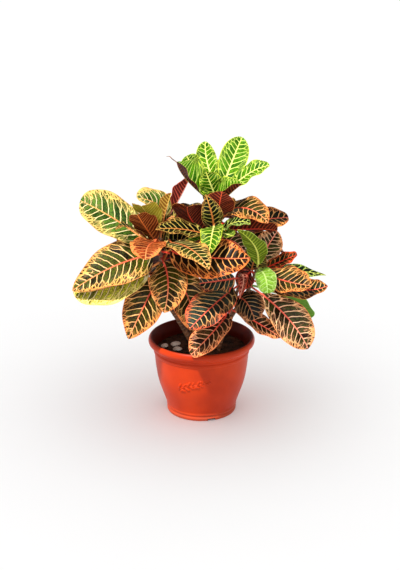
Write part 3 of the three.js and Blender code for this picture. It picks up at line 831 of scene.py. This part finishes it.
def leaf_tree():
    """Wraps a sheet of rows and sides round a leaf; s runs along the blade and a across it, from -1 to 1."""
    kinds = {
        "Vector": ("Root", "Pull", "Tip", "Face"),
        "Float": ("Half", "Fold", "Swell", "Taper", "Peak", "Stalk", "Length", "Veins", "Phase", "Seed"),
        "Material": ("Upper", "Lower"),
    }
    inputs = {name: kind for kind, names in kinds.items() for name in names}
    tree, size = tree_of("croton_leaf", inputs)
    values = {"Size X": 1.0, "Size Y": 1.0, "Vertices X": LEAF_ROWS + 1, "Vertices Y": LEAF_SIDES + 1}
    grid = step(tree, "MeshGrid", values)
    along, around = step(tree, "InputPosition").parts()[:2]
    along, around = along + 0.5, around + 0.5
    early = (along * (LEAF_ROWS / STALK_ROWS)).math("MINIMUM", 1.0)
    late = ((along - STALK_ROWS / LEAF_ROWS) / (1 - STALK_ROWS / LEAF_ROWS)).math("MAXIMUM", 0.0)
    s = (late - ROW_CROWD * (late * 2 * math.pi).math("SINE")).math("MINIMUM", 1.0)
    t = size["Stalk"] * early + (1 - size["Stalk"]) * s
    turn = abs(4 * around - 2) - 1
    a = turn * abs(turn) * (3 - 2 * abs(turn))
    out = abs(a)
    below = around.math("GREATER_THAN", 0.5)

    r = 1 - t
    spine = size["Root"] * (r * r) + size["Pull"] * (2 * r * t) + size["Tip"] * (t * t)
    run = (size["Pull"] - size["Root"]) * r + (size["Tip"] - size["Pull"]) * t
    run = run.math("NORMALIZE")
    side = run.math("CROSS_PRODUCT", size["Face"]).math("NORMALIZE")
    up = side.math("CROSS_PRODUCT", run)

    blade = size["Half"] * (s ** size["Swell"]) * ((1 - s) ** size["Taper"]) / size["Peak"]
    stem_part = STALK_RADIUS * (1 - s) ** 0.5
    half = (blade * blade + stem_part * stem_part).math("SQRT")
    open_share = s.rise(0.0, BLADE_OPENS)
    x = a * half
    y = (s - BLADE_STARTS) * size["Length"] - (1 - early) * size["Length"] * STALK_RUN
    number = (y - VEIN_SLANT * abs(x) - VEIN_CURVE * x * x / size["Half"]) * size["Veins"]
    spot = vector(tree, x * DRIFT_SCALE, y * DRIFT_SCALE, size["Seed"])
    right = a.math("GREATER_THAN", 0.0)
    number = number + (spot.mottle(1.0, 2.0) - 0.5) * VEIN_DRIFT + 0.5 * right

    swing = (s * (2 * math.pi * WAVES) + size["Phase"] + WAVE_SHIFT * right).math("SINE")
    wave = WAVE_HEIGHT * swing * out * out * (half / WAVE_FULL).math("MINIMUM", 1.0)
    fade = out.rise(*PUCKER_STARTS) * (1 - out.rise(*PUCKER_ENDS)) * open_share
    fade = fade * (half / PUCKER_FULL).math("MINIMUM", 1.0)
    pucker = PUCKER * (number * 2 * math.pi).math("COSINE") * fade * -1
    belly = (out * math.pi).math("SINE") * CAMBER * half * open_share
    rise = (out * half * size["Fold"].math("SINE") + wave + pucker + belly) * open_share
    round_part = (1 - out * out).math("MAXIMUM", 0.0).math("SQRT") * half
    flat = (1 - out**8).math("MAXIMUM", 0.0).math("SQRT") * (BLADE_THICKNESS / 2)
    swell = (x / RIB_WIDTH) * (x / RIB_WIDTH) * -1
    rib = swell.math("EXPONENT") * (1 - RIB_TAPER * s) * (RIB_ABOVE + below * (RIB_SWELL - RIB_ABOVE))
    tip_cap = ((1 - along) * (LEAF_ROWS / 2)).math("MINIMUM", 1.0)
    base_cap = (along * LEAF_ROWS).math("MINIMUM", 1.0)
    thick = round_part + (flat + rib * RIB_SHARE - round_part) * open_share
    lift = rise + thick * (1 - 2 * below) * tip_cap
    spread = x * (1 + (size["Fold"].math("COSINE") - 1) * open_share)
    place = spine + (side * spread + up * lift) * base_cap

    marked = stored(tree, grid, "blade", vector(tree, x, y, size["Seed"]))
    marked = stored(tree, marked, "veins", vector(tree, a, s, number))
    marked = stored(tree, marked, "below", below, "BOOLEAN", "FACE")
    values = {"Geometry": marked, "Position": place * MM}
    leaf = step(tree, "SetPosition", values)
    whole = step(tree, "MergeByDistance", {"Geometry": leaf, "Distance": MERGE})
    ended(tree, whole, size["Upper"], size["Lower"])
    return tree


def chance(tree, *numbers):
    """A random share of its own for every set of whole numbers."""
    return Wire.node(tree, "ShaderNodeTexWhiteNoise", {}, {"Vector": vector(tree, *numbers)}, "Value")


def leaf_marks(tree, grain):
    """A place in a blade: far from the midrib, y along it, seed, share across, s along, veins, noises."""
    x, y, seed = read_mark(tree, "blade")
    flat = vector(tree, x, y, seed * SEED_SPREAD)
    noises = [(flat * scale).mottle(1.0, 3.0) for scale in (CLOUD, grain)]
    return (abs(x), y, seed, *read_mark(tree, "veins"), *noises)


def midrib(far, s, soft):
    """1 on the midrib, which narrows towards the tip and fades out at its sides."""
    width = RIB_HALF * (1 - RIB_NARROWING * s)
    return 1 - (far / width).rise(0.6, soft)


def finish(base, roughness, relief):
    """What both faces have in common: a dull leathery gloss over a fine relief."""
    return {
        "Base Color": base,
        "Roughness": roughness,
        "Specular IOR Level": LEAF_SHINE,
        "Normal": relief.bump(0.0006, 0.6),
    }


def leaf_upper(look):
    """The upper face: pale forked veins, a net between them, dark islands in the net, and a warm margin."""
    codes, spread = LOOKS[look]
    deep, mid, vein, net, edge, rib, rib_tip = [tint(code) for code in codes.split()[:7]]
    brink = tuple((1 - BRINK) * d + BRINK * r for d, r in zip(mid, rib))

    def paint(place):
        tree = place.tree
        far, y, seed, across, s, number, cloud, fine = leaf_marks(tree, 0.35)
        out = abs(across)
        nearest = (number + 0.5).math("FLOOR")
        side = across.math("SIGN") * 5
        fork = FORK_FIRST + FORK_SPREAD * chance(tree, nearest, side, seed)
        gap = abs(number - nearest) + (fine - 0.5) * VEIN_WOBBLE
        line = (1 - gap.rise(*VEIN_SIDES)) * (1 - VEIN_FADE * (out - fork).rise(0.02, 0.3))
        split = abs(gap - 0.5 * (out - fork).rise(0.0, FORK_OPENS))
        line = line.math("MAXIMUM", 1 - split.rise(*VEIN_SIDES))

        wide, long = NET_CELLS
        where = vector(tree, number * wide, far * long, seed * SEED_SPREAD + side)
        values = {"Vector": where, "Scale": 1.0}
        mesh = Wire.node(tree, "ShaderNodeTexVoronoi", {"feature": "DISTANCE_TO_EDGE"}, values)
        zone = out * out * 0.6 + s * s * 0.4 + (cloud - 0.5) * 1.2 + (spread - 0.3)
        level = zone.rise(0.15, 1.1) * NET_WIDEST
        island = (mesh - level + 0.1).rise(0.0, 0.1) * (1 - line)
        own = chance(tree, number.math("FLOOR"), side, seed)
        # Islands run from deep to mid towards their middles, where the puckered blade bulges: a painted sheen
        # over their own random tone.
        painted_sheen = gap.math("MINIMUM", split).rise(0.1, 0.26) * (mesh - level).rise(-0.02, 0.14)
        dark = (fine * 0.7 + cloud * 0.4 + own * 0.4 - 0.2).rise(0.3, 0.7)
        dark = (dark * (0.15 + 1.05 * painted_sheen)).blend(deep, mid)

        field = (out * 0.8 + (cloud - 0.5) + s * 0.2).rise(0.2, 0.9).blend(vein, net)
        warm = (out * out * 0.9 + (cloud - 0.5) * 1.2 + (s - 0.6) * 0.9).rise(0.3, 1.0)
        field = (warm * 0.85).blend(field, edge)
        pink = chance(tree, nearest, side, seed + 0.5) * line * 0.5
        base = island.blend(pink.blend(field, rib_tip), dark)
        base = (island * (1 - island) * 2.6).blend(base, brink)

        mid_line = midrib(far, s, 1.15)
        root = (1 - (far / ROOT_WIDTH).rise(0.0, 1.0)) * line * (1 - 0.7 * s)
        core = (s + (cloud - 0.5) * 0.3).rise(0.35, 0.95).blend(rib, rib_tip)
        base = (root * 0.75).blend(base, core)
        base = mid_line.blend(base, core)
        rim = out.rise(RIM[0] + 0.15 * min(spread, 0), RIM[1])
        base = (rim * 0.85).blend(base, edge)
        base = (1 - y.rise(*STALK_ENDS)).blend(base, core)
        relief = (1 - line) * 0.5 + fine * 0.25 - mid_line * 0.3
        return finish(base, 0.3 + 0.2 * fine + 0.12 * line, relief)

    return paint


def leaf_lower(look):
    """The lower face: one clouded colour with raised veins, and the rim of the upper face."""
    edge, rib, _, under, under_vein = [tint(code) for code in LOOKS[look][0].split()[4:]]

    def paint(place):
        far, y, _, across, s, number, cloud, fine = leaf_marks(place.tree, 0.4)
        out = abs(across)
        gap = 0.5 - abs((number * 1.5).math("FRACT") - 0.5)
        line = 1 - gap.rise(0.03, 0.1)
        show = (0.35 + 0.5 * cloud) * (1 - gap.rise(0.1, 0.35)) + 0.25 * fine
        skin = (show * 0.25).blend(under, under_vein)
        base = (line * (0.75 - 0.3 * out)).blend(skin, under_vein)
        mid_line = midrib(far, s, 1.2)
        base = mid_line.blend(base, s.rise(0.3, 1.0).blend(rib, under_vein))
        base = (out.rise(0.95, 0.985) * 0.8).blend(base, edge)
        base = (1 - y.rise(*STALK_ENDS)).blend(base, rib)
        return finish(base, 0.45 + 0.25 * fine, line * 0.6 + fine * 0.3 + mid_line * 0.5)

    return paint


leaf = leaf_tree()
leaf_skins = {}
leaf_numbers = itertools.count(1)


def leaf_piece(name, stem_name, slot, node, row):
    """One leaf from its row: height of its root, middle, tip, width, fold, facing, form and look."""
    height, middle, tip, width, fold, face, form, look = row
    for side, paint in (("upper", leaf_upper), ("lower", leaf_lower)):
        if (look, side) not in leaf_skins:
            leaf_skins[look, side] = surface(f"leaf_{look}_{side}", paint(look))
    root, tip = stem_place(stem_name, height), Vector(tip)
    pull = Vector(middle) * 2 - (root + tip) / 2
    shares = [k / LENGTH_STEPS for k in range(LENGTH_STEPS + 1)]
    line = [root.lerp(pull, t).lerp(pull.lerp(tip, t), t) for t in shares]
    length = sum((b - a).length for a, b in zip(line, line[1:]))
    stalk = (STALK_BASE + STALK_SHARE * length) / length
    swell, taper = FORMS[form]
    peak = swell / (swell + taper)
    values = {"Root": root, "Pull": pull, "Tip": tip, "Face": face, "Half": width / 2}
    values.update({"Fold": math.radians(fold), "Swell": swell, "Taper": taper, "Stalk": stalk})
    values.update({"Peak": peak**swell * (1 - peak) ** taper, "Length": length * (1 - stalk)})
    values["Phase"] = 0.1 * (middle[0] + 2 * middle[1] + 3 * middle[2])
    values["Seed"] = next(leaf_numbers) * SEED_STEP
    values["Veins"] = VEINS_LEAST / (length * (1 - stalk)) + 1 / VEIN_STEP
    values["Veins"] *= YOUNG_VEINS if slot == "young_leaf" else 1
    values.update({side.title(): leaf_skins[look, side] for side in ("upper", "lower")})
    placed(grown(name, leaf, values), slot, node)


def shoot(node, stem_name, slot, rows, low=None, high=None):
    """The leafy stretch of a stem, or a part of it, with the leaves that spring from it."""
    foot, top = LEAFY[stem_name]
    stem_piece(node + "_stem", stem_name, low or foot, high or top, slot, node)
    for name, row in rows.items():
        leaf_piece(name, stem_name, slot, node, row)


# Crown
# The young top of the leader: eight upright leaves, lime between yellow veins and mostly maroon beneath, and
# a dried thread that still hangs from the tip of the left one.
CROWN = {
    "crown_left": (400, (-25, -8, 457), (-45, -12, 495), 90, 40, (0.85, -0.32, 0.45), "blunt", "lime"),
    "crown_left_back": (408, (-10, 30, 466), (-28, 34, 494), 38, 10, (0.1, -1, 0.4), "round", "lime"),
    "crown_up_left": (426, (12, 42, 473), (7, 56, 516), 41, 18, (-0.1, -1, 0.5), "oval", "lime"),
    "crown_up_right": (424, (56, 32, 483), (75, 44, 527), 54, 16, (0.1, -1, 0.5), "oval", "lime"),
    "crown_back": (420, (33, 42, 454), (36, 72, 476), 50, 16, (0, -0.6, 1), "oval", "lime"),
    "crown_right": (412, (81, 6, 463), (124, -4, 485), 46, 12, (-0.2, -0.5, 1), "oval", "lime"),
    "crown_front": (400.6, (45, -14, 428), (73, -32, 459), 72, 44, (-0.75, 0, 0.6), "wide", "lime"),
    "crown_inner": (406, (17, 4, 446), (8, 0, 472), 44, 14, (0.1, -1, 0.5), "oval", "green"),
}
CROWN_FOOT = 398
SHOOT_GAP = 0.4
THREAD_PATH = [(-44, -12, 493), (-53, -10, 499), (-58, -9, 504), (-64, -9, 504)]
THREAD_RADII = (0.9, 0.5)
THREAD_STEP = 50.0
shoot("crown", "leader", "young_leaf", CROWN, low=CROWN_FOOT + SHOOT_GAP)
values = {"Start": THREAD_RADII[0], "End": THREAD_RADII[1], "Young": 0.0, "Younger": 0.0}
values.update({"Step": THREAD_STEP, "Bark": bark})
placed(grown("crown_thread", stem, values, line_of(THREAD_PATH)), "young_leaf", "crown")


# Leaves of the leader
# Ten grown leaves below the crown, on the stem that reaches highest: dark between gold and red veins, three
# of them turned so that their maroon lower side shows.
LEAVES_LEADER = {
    "leader_maroon": (330, (-16, -12, 380), (-26, -50, 420), 76, 26, (0, 0.5, 1), "round", "dusk"),
    "leader_arch_right": (384, (79, -20, 409), (121, -48, 389), 61, 8, (0.05, -0.55, 1), "keen", "ember"),
    "leader_round_right": (366, (99, 44, 366), (165, 58, 367), 57, 10, (0, -0.5, 1), "round", "dusk"),
    "leader_under_right": (350, (93, -6, 365), (140, -14, 364), 60, 14, (0, 0.9, 1), "oval", "dusk"),
    "leader_under_crown": (371, (30, -38, 411), (37, -50, 450), 62, 12, (0, 0.9, 1), "oval", "dusk"),
    "leader_inner": (340, (29, 22, 356), (3, 14, 341), 56, 12, (0, -0.6, 1), "oval", "black"),
    "leader_back_left": (372, (-14, 70, 384), (-46, 98, 366), 64, 12, (-0.1, 0.4, 1), "oval", "dark"),
    "leader_back": (350, (22, 76, 370), (14, 120, 348), 70, 12, (0, 0.4, 1), "oval", "gold"),
    "leader_back_right": (390, (48, 50, 370), (74, 86, 366), 62, 12, (0.2, 0.3, 1), "oval", "ember"),
    "leader_back_low": (306, (8, 72, 306), (-4, 112, 270), 62, 12, (0, 0.5, 1), "oval", "black"),
}
shoot("leaves_leader", "leader", "leaf", LEAVES_LEADER, high=CROWN_FOOT)


# Front tip
# The young end of the front stem: three small leaves, two of them still green and netted with yellow, and the
# one that stands up already dark.
FRONT_TIP = {
    "tip_up": (368, (18, -58, 410), (7, -64, 448), 41, 14, (0, -1, 0.35), "egg", "dark"),
    "tip_down": (372, (20, -92, 388), (13, -124, 355), 43, 16, (-0.25, -0.5, 1), "oval", "green"),
    "tip_right": (370, (42, -60, 372), (57, -78, 374), 30, 14, (0.1, -0.5, 1), "oval", "green"),
}
TIP_FOOT = 363
shoot("front_tip", "front", "young_leaf", FRONT_TIP, low=TIP_FOOT + SHOOT_GAP)


# Leaves of the front stem
# Four leaves that spread flat under the front tip, in dark green, red and lime. They spring from the top of
# the bare stem and half hide each other.
LEAVES_FRONT = {
    "front_dark_left": (358, (-34, -52, 378), (-83, -74, 385), 56, 12, (0, -0.35, 1), "point", "dark"),
    "front_dark_right": (356, (57, -52, 390), (88, -61, 391), 39, 12, (0, -0.25, 1), "broad", "leafgreen"),
    "front_red_right": (346, (54, -36, 351), (80, -36, 328), 46, 12, (0, -0.7, 1), "point", "rosy"),
    "front_under_left": (340, (-3, -42, 349), (-25, -44, 336), 44, 12, (0, -0.8, 1), "point", "lime"),
}
shoot("leaves_front", "front", "leaf", LEAVES_FRONT, high=TIP_FOOT)


# Leaves of the left stem
# The widest spray: long leaves that arch out to the left and hang over the pot, and small ones round the top,
# some of them folded or turned so that their backs show.
LEAVES_LEFT = {
    "left_far_upper": (322, (-153, -62, 314), (-236, -84, 271), 90, 8, (-0.35, -1, 0.8), "slope", "gold"),
    # This lower far-left leaf takes a lightened look: painted light on a leaf that lies in the shadow of the
    # one above.
    "left_far_lower": (308, (-166, -52, 269), (-236, -66, 262), 88, 14, (-0.2, -0.9, 1), "wide", "bright"),
    "left_down": (316, (-61, -90, 292), (-68, -112, 239), 72, 10, (0, -1, 0.35), "keen", "ember"),
    "left_down_left": (290, (-101, -60, 244), (-136, -78, 174), 80, 10, (-0.3, -1, 0.5), "keen", "ember"),
    "left_down_right": (296, (-31, -56, 261), (-10, -72, 185), 72, 10, (0.2, -1, 0.5), "oval", "ember"),
    "left_right_big": (328, (8, -96, 339), (87, -106, 342), 86, 4, (0.1, -1, 1), "keen", "flame"),
    "left_right_pale": (344, (-24, -136, 371), (13, -194, 351), 62, 4, (0.15, -0.35, 1), "point", "shade"),
    "left_high": (326, (-154, -12, 381), (-223, -12, 421), 84, 12, (0.1, -0.9, 0.9), "round", "sunny"),
    "left_top": (372, (-80, -11, 409), (-118, -24, 429), 60, 12, (-0.1, -0.6, 1), "round", "sunny"),
    "left_olive": (352, (-98, -40, 400), (-108, -70, 428), 58, 24, (0, 0.4, 1), "oval", "olive"),
    "left_maroon": (334, (-101, -58, 383), (-114, -94, 419), 52, 20, (-0.2, 0.4, 1), "oval", "umber"),
    "left_orange_edge": (326, (-126, -50, 379), (-156, -62, 381), 36, 10, (0, 0, 1), "point", "dark"),
    "left_orange_front": (346, (-94, -110, 367), (-98, -160, 357), 64, 12, (0, -0.45, 1), "oval", "fire"),
    "left_red_narrow": (368, (-44, 16, 412), (-22, 24, 455), 40, 62, (-0.8, 0.3, 0.6), "oval", "scarlet"),
    "left_brown_narrow": (350, (-67, -32, 402), (-55, -34, 442), 34, 58, (-0.8, 0.3, 0.6), "oval", "rust"),
    "left_tip_small": (360, (-65, -26, 386), (-49, -24, 394), 24, 14, (0, -0.3, 1), "point", "gold"),
    "left_inner": (300, (-44, 4, 338), (-16, 14, 322), 64, 12, (0.3, -0.6, 1), "oval", "dark"),
    "left_inner_low": (304, (-67, 18, 302), (-56, 30, 267), 60, 12, (0.2, -0.7, 1), "oval", "wine"),
    "left_back": (332, (-122, 26, 337), (-142, 42, 314), 76, 12, (-0.2, 0.2, 1), "oval", "ember"),
    "left_back_low": (276, (-118, 34, 264), (-162, 66, 226), 66, 10, (-0.4, 0.4, 1), "oval", "ember"),
    "left_back_up": (366, (-92, 30, 384), (-112, 74, 370), 60, 12, (0, 0.4, 1), "oval", "gold"),
}
shoot("leaves_left", "left", "leaf", LEAVES_LEFT)


# Leaves of the right stem
# Thirteen leaves that lean out to the right and to the back, most of them dark with red midribs, a few green,
# and a small round one that is plain pale green.
LEAVES_RIGHT = {
    "right_orange": (280, (156, -38, 273), (203, -66, 274), 70, 12, (0, -0.55, 1), "keen", "ember"),
    "right_back_green": (286, (159, 34, 271), (238, 38, 258), 52, 4, (0, -0.2, 1), "point", "leafgreen"),
    "right_red_tip": (262, (181, -20, 249), (235, -32, 262), 64, 12, (0.05, -0.4, 1), "keen", "dusk"),
    "right_low": (250, (158, -36, 203), (201, -42, 139), 74, 10, (0.25, -1, 0.55), "late", "rosy"),
    "right_low_green": (252, (164, 10, 222), (210, 4, 184), 64, 8, (0.3, 0.7, 1), "round", "backgreen"),
    "right_up": (284, (123, 46, 308), (145, 62, 339), 54, 12, (0.2, -1, 0.5), "oval", "rosy"),
    "right_red_up": (276, (146, 14, 292), (180, 14, 307), 34, 12, (0, -0.4, 1), "round", "blood"),
    "right_olive": (288, (98, -62, 347), (64, -90, 390), 40, 10, (-0.1, 0.5, 1), "broad", "leafgreen"),
    "right_pale": (282, (115, -64, 295), (120, -80, 265), 39, 8, (0, -1, 0.6), "round", "pale"),
    "right_inner": (276, (87, -4, 275), (74, -4, 243), 38, 12, (0, -0.9, 0.6), "oval", "wine"),
    "right_inner_up": (272, (97, 12, 290), (118, 20, 313), 56, 12, (0.2, -0.8, 0.8), "oval", "dark"),
    "right_back_out": (268, (152, 62, 250), (196, 100, 220), 68, 10, (0.2, 0.3, 1), "oval", "gold"),
    "right_back_low": (232, (124, 58, 208), (152, 98, 170), 62, 10, (0.3, 0.5, 1), "oval", "dark"),
}
shoot("leaves_right", "right", "leaf", LEAVES_RIGHT)


# Leaves of the low stem
# Six leaves round the front of the pot, dark between red midribs and yellow nets. The largest lean forward
# over the rim, and a small red one has only begun to open.
LEAVES_LOW = {
    "low_pot": (212, (26, -92, 199), (-19, -116, 158), 60, 12, (-0.3, -0.7, 1), "round", "coal"),
    "low_big": (262, (22, -110, 253), (-21, -150, 223), 78, 10, (-0.2, -0.6, 1), "oval", "night"),
    "low_right": (214, (110, -40, 187), (148, -48, 164), 42, 12, (0.2, -0.7, 1), "keen", "coal"),
    "low_inner": (232, (80, -50, 239), (98, -62, 206), 62, 10, (0.2, -0.8, 1), "round", "black"),
    "low_red_small": (282, (78, -50, 280), (70, -66, 248), 20, 20, (-0.4, -0.6, 1), "point", "scarlet"),
    "low_up_left": (276, (38, -50, 279), (-4, -58, 276), 60, 10, (0, -0.9, 0.6), "oval", "night"),
}
shoot("leaves_low", "low", "leaf", LEAVES_LOW)


# Leaves of the back left stem
# Seven leaves that fill the back on the left, away from the viewer: four big ones that arch out and down, and
# shorter ones above and between them.
LEAVES_BACK_LEFT = {
    "back_left_side": (300, (-108, 96, 318), (-166, 108, 292), 72, 12, (-0.3, 0, 1), "oval", "gold"),
    "back_left_out": (316, (-92, 140, 330), (-124, 186, 298), 76, 12, (-0.4, 0.5, 1), "oval", "dusk"),
    "back_left_back": (326, (-46, 142, 352), (-44, 196, 322), 74, 12, (0, 0.5, 1), "oval", "ember"),
    "back_left_low": (268, (-70, 132, 262), (-84, 176, 216), 70, 10, (-0.2, 0.6, 1), "oval", "black"),
    "back_left_low_side": (250, (-88, 96, 252), (-124, 112, 222), 62, 10, (-0.5, 0.3, 1), "oval", "gold"),
    "back_left_up": (329, (-72, 104, 364), (-98, 118, 380), 56, 16, (0.3, -0.5, 0.6), "oval", "dark"),
    "back_left_in": (296, (-8, 120, 310), (18, 150, 276), 60, 12, (0.3, 0.5, 1), "point", "gold"),
}
shoot("leaves_back_left", "back_left", "leaf", LEAVES_BACK_LEFT)


# Leaves of the back right stem
# Eight leaves that fill the back on the right, in the same way as on the left, with a small young one at the
# top of the stem.
LEAVES_BACK_RIGHT = {
    "back_right_side": (306, (114, 104, 308), (162, 116, 272), 72, 12, (0.3, 0, 1), "oval", "dusk"),
    "back_right_out": (322, (106, 146, 336), (138, 188, 300), 76, 12, (0.4, 0.5, 1), "oval", "gold"),
    "back_right_back": (338, (56, 152, 362), (56, 198, 330), 72, 12, (0, 0.5, 1), "oval", "night"),
    "back_right_low": (276, (84, 140, 272), (98, 182, 226), 72, 10, (0.2, 0.6, 1), "oval", "ember"),
    "back_right_low_side": (250, (104, 100, 250), (142, 108, 214), 62, 10, (0.5, 0.3, 1), "oval", "dark"),
    "back_right_up": (344, (84, 108, 360), (112, 118, 372), 56, 16, (-0.3, -0.3, 0.8), "oval", "dark"),
    "back_right_young": (342, (54, 126, 366), (40, 152, 370), 38, 18, (-0.2, 0, 1), "oval", "dark"),
    "back_right_in": (300, (30, 140, 316), (4, 178, 290), 58, 12, (-0.3, 0.5, 1), "point", "dusk"),
}
shoot("leaves_back_right", "back_right", "leaf", LEAVES_BACK_RIGHT)


# Studio
# The plant stands on a wide white floor under a white sky. A lamp high on the left stands for the sun, on the
# plant alone, and a wide low one in front fills the shadows of the foliage. An even light from above whitens
# the floor, where the plant leaves only a soft shade.
FLOOR_RADIUS = 40
FLOOR_SIDES = 64
FLOOR_DROP = 0.0002
FLOOR_WHITE = 0.9
SKY = 0.46
SUN_PLACE = (-1.3, -1.9, 4.1)
SUN_SIZE = 0.3
SUN_WATTS = 285
SUN_TINT = (1.0, 0.96, 0.9)
SHADE_WIDTH = 130
SHADE_LIGHT = 2.15
FILL_PLACE = (0.6, -2.6, 0.6)
FILL_SIZE = 2.4
FILL_WATTS = 52
EYE_DISTANCE = 2.54
EYE_LIFT = 20
EYE_AIM = (-0.003, 0, 0.252)
EYE_LENS = 85
EYE_REACH = 100


def paint_floor(place):
    """Dull white paint, faintly clouded."""
    low, high = [(FLOOR_WHITE + k,) * 3 + (1,) for k in (-0.01, 0.01)]
    return {"Base Color": place.mottle(3.0).blend(low, high), "Roughness": 0.9}


def lamp(name, kind, place, power, receivers, **settings):
    """A lamp that looks at the plant and lights only these objects."""
    light = bpy.data.lights.new(name, kind)
    light.energy = power
    for key, value in settings.items():
        setattr(light, key, value)
    holder = bpy.data.objects.new(name, light)
    holder.location = place
    holder.rotation_euler = (Vector(EYE_AIM) - holder.location).to_track_quat("-Z", "Y").to_euler()
    bpy.context.scene.collection.objects.link(holder)
    lit = bpy.data.collections.new("lit_by_" + name)
    for thing in receivers:
        lit.objects.link(thing)
    holder.light_linking.receiver_collection = lit


plant = [thing for thing in bpy.context.scene.objects if thing.type == "MESH"]
disc = bmesh.new()
bmesh.ops.create_circle(disc, cap_ends=True, segments=FLOOR_SIDES, radius=FLOOR_RADIUS)
ground = bpy.data.meshes.new("floor")
disc.to_mesh(ground)
disc.free()
floor = shown("floor", ground, surface("floor_white", paint_floor))
floor.location.z = -FLOOR_DROP
lamp("sun", "AREA", SUN_PLACE, SUN_WATTS, plant, size=SUN_SIZE, color=SUN_TINT)
foliage = [thing for thing in plant if not thing.name.startswith("pot")]
lamp("fill", "AREA", FILL_PLACE, FILL_WATTS, foliage, size=FILL_SIZE)
lamp("shade", "SUN", (0, 0, 4), SHADE_LIGHT, [floor], angle=math.radians(SHADE_WIDTH))
world = bpy.data.worlds.new("sky")
bpy.context.scene.world = world
world.use_nodes = True
background = world.node_tree.nodes["Background"]
background.inputs["Color"].default_value = (1.0, 1.0, 1.0, 1)
background.inputs["Strength"].default_value = SKY

eye = bpy.data.cameras.new("eye")
eye.lens = EYE_LENS
eye.clip_end = EYE_REACH
camera = bpy.data.objects.new("eye", eye)
lift = math.radians(EYE_LIFT)
back = Vector((0, -math.cos(lift), math.sin(lift)))
camera.location = Vector(EYE_AIM) + back * EYE_DISTANCE
camera.rotation_euler = (-back).to_track_quat("-Z", "Y").to_euler()
bpy.context.scene.collection.objects.link(camera)
bpy.context.scene.camera = camera
bpy.context.scene.view_settings.view_transform = "Standard"
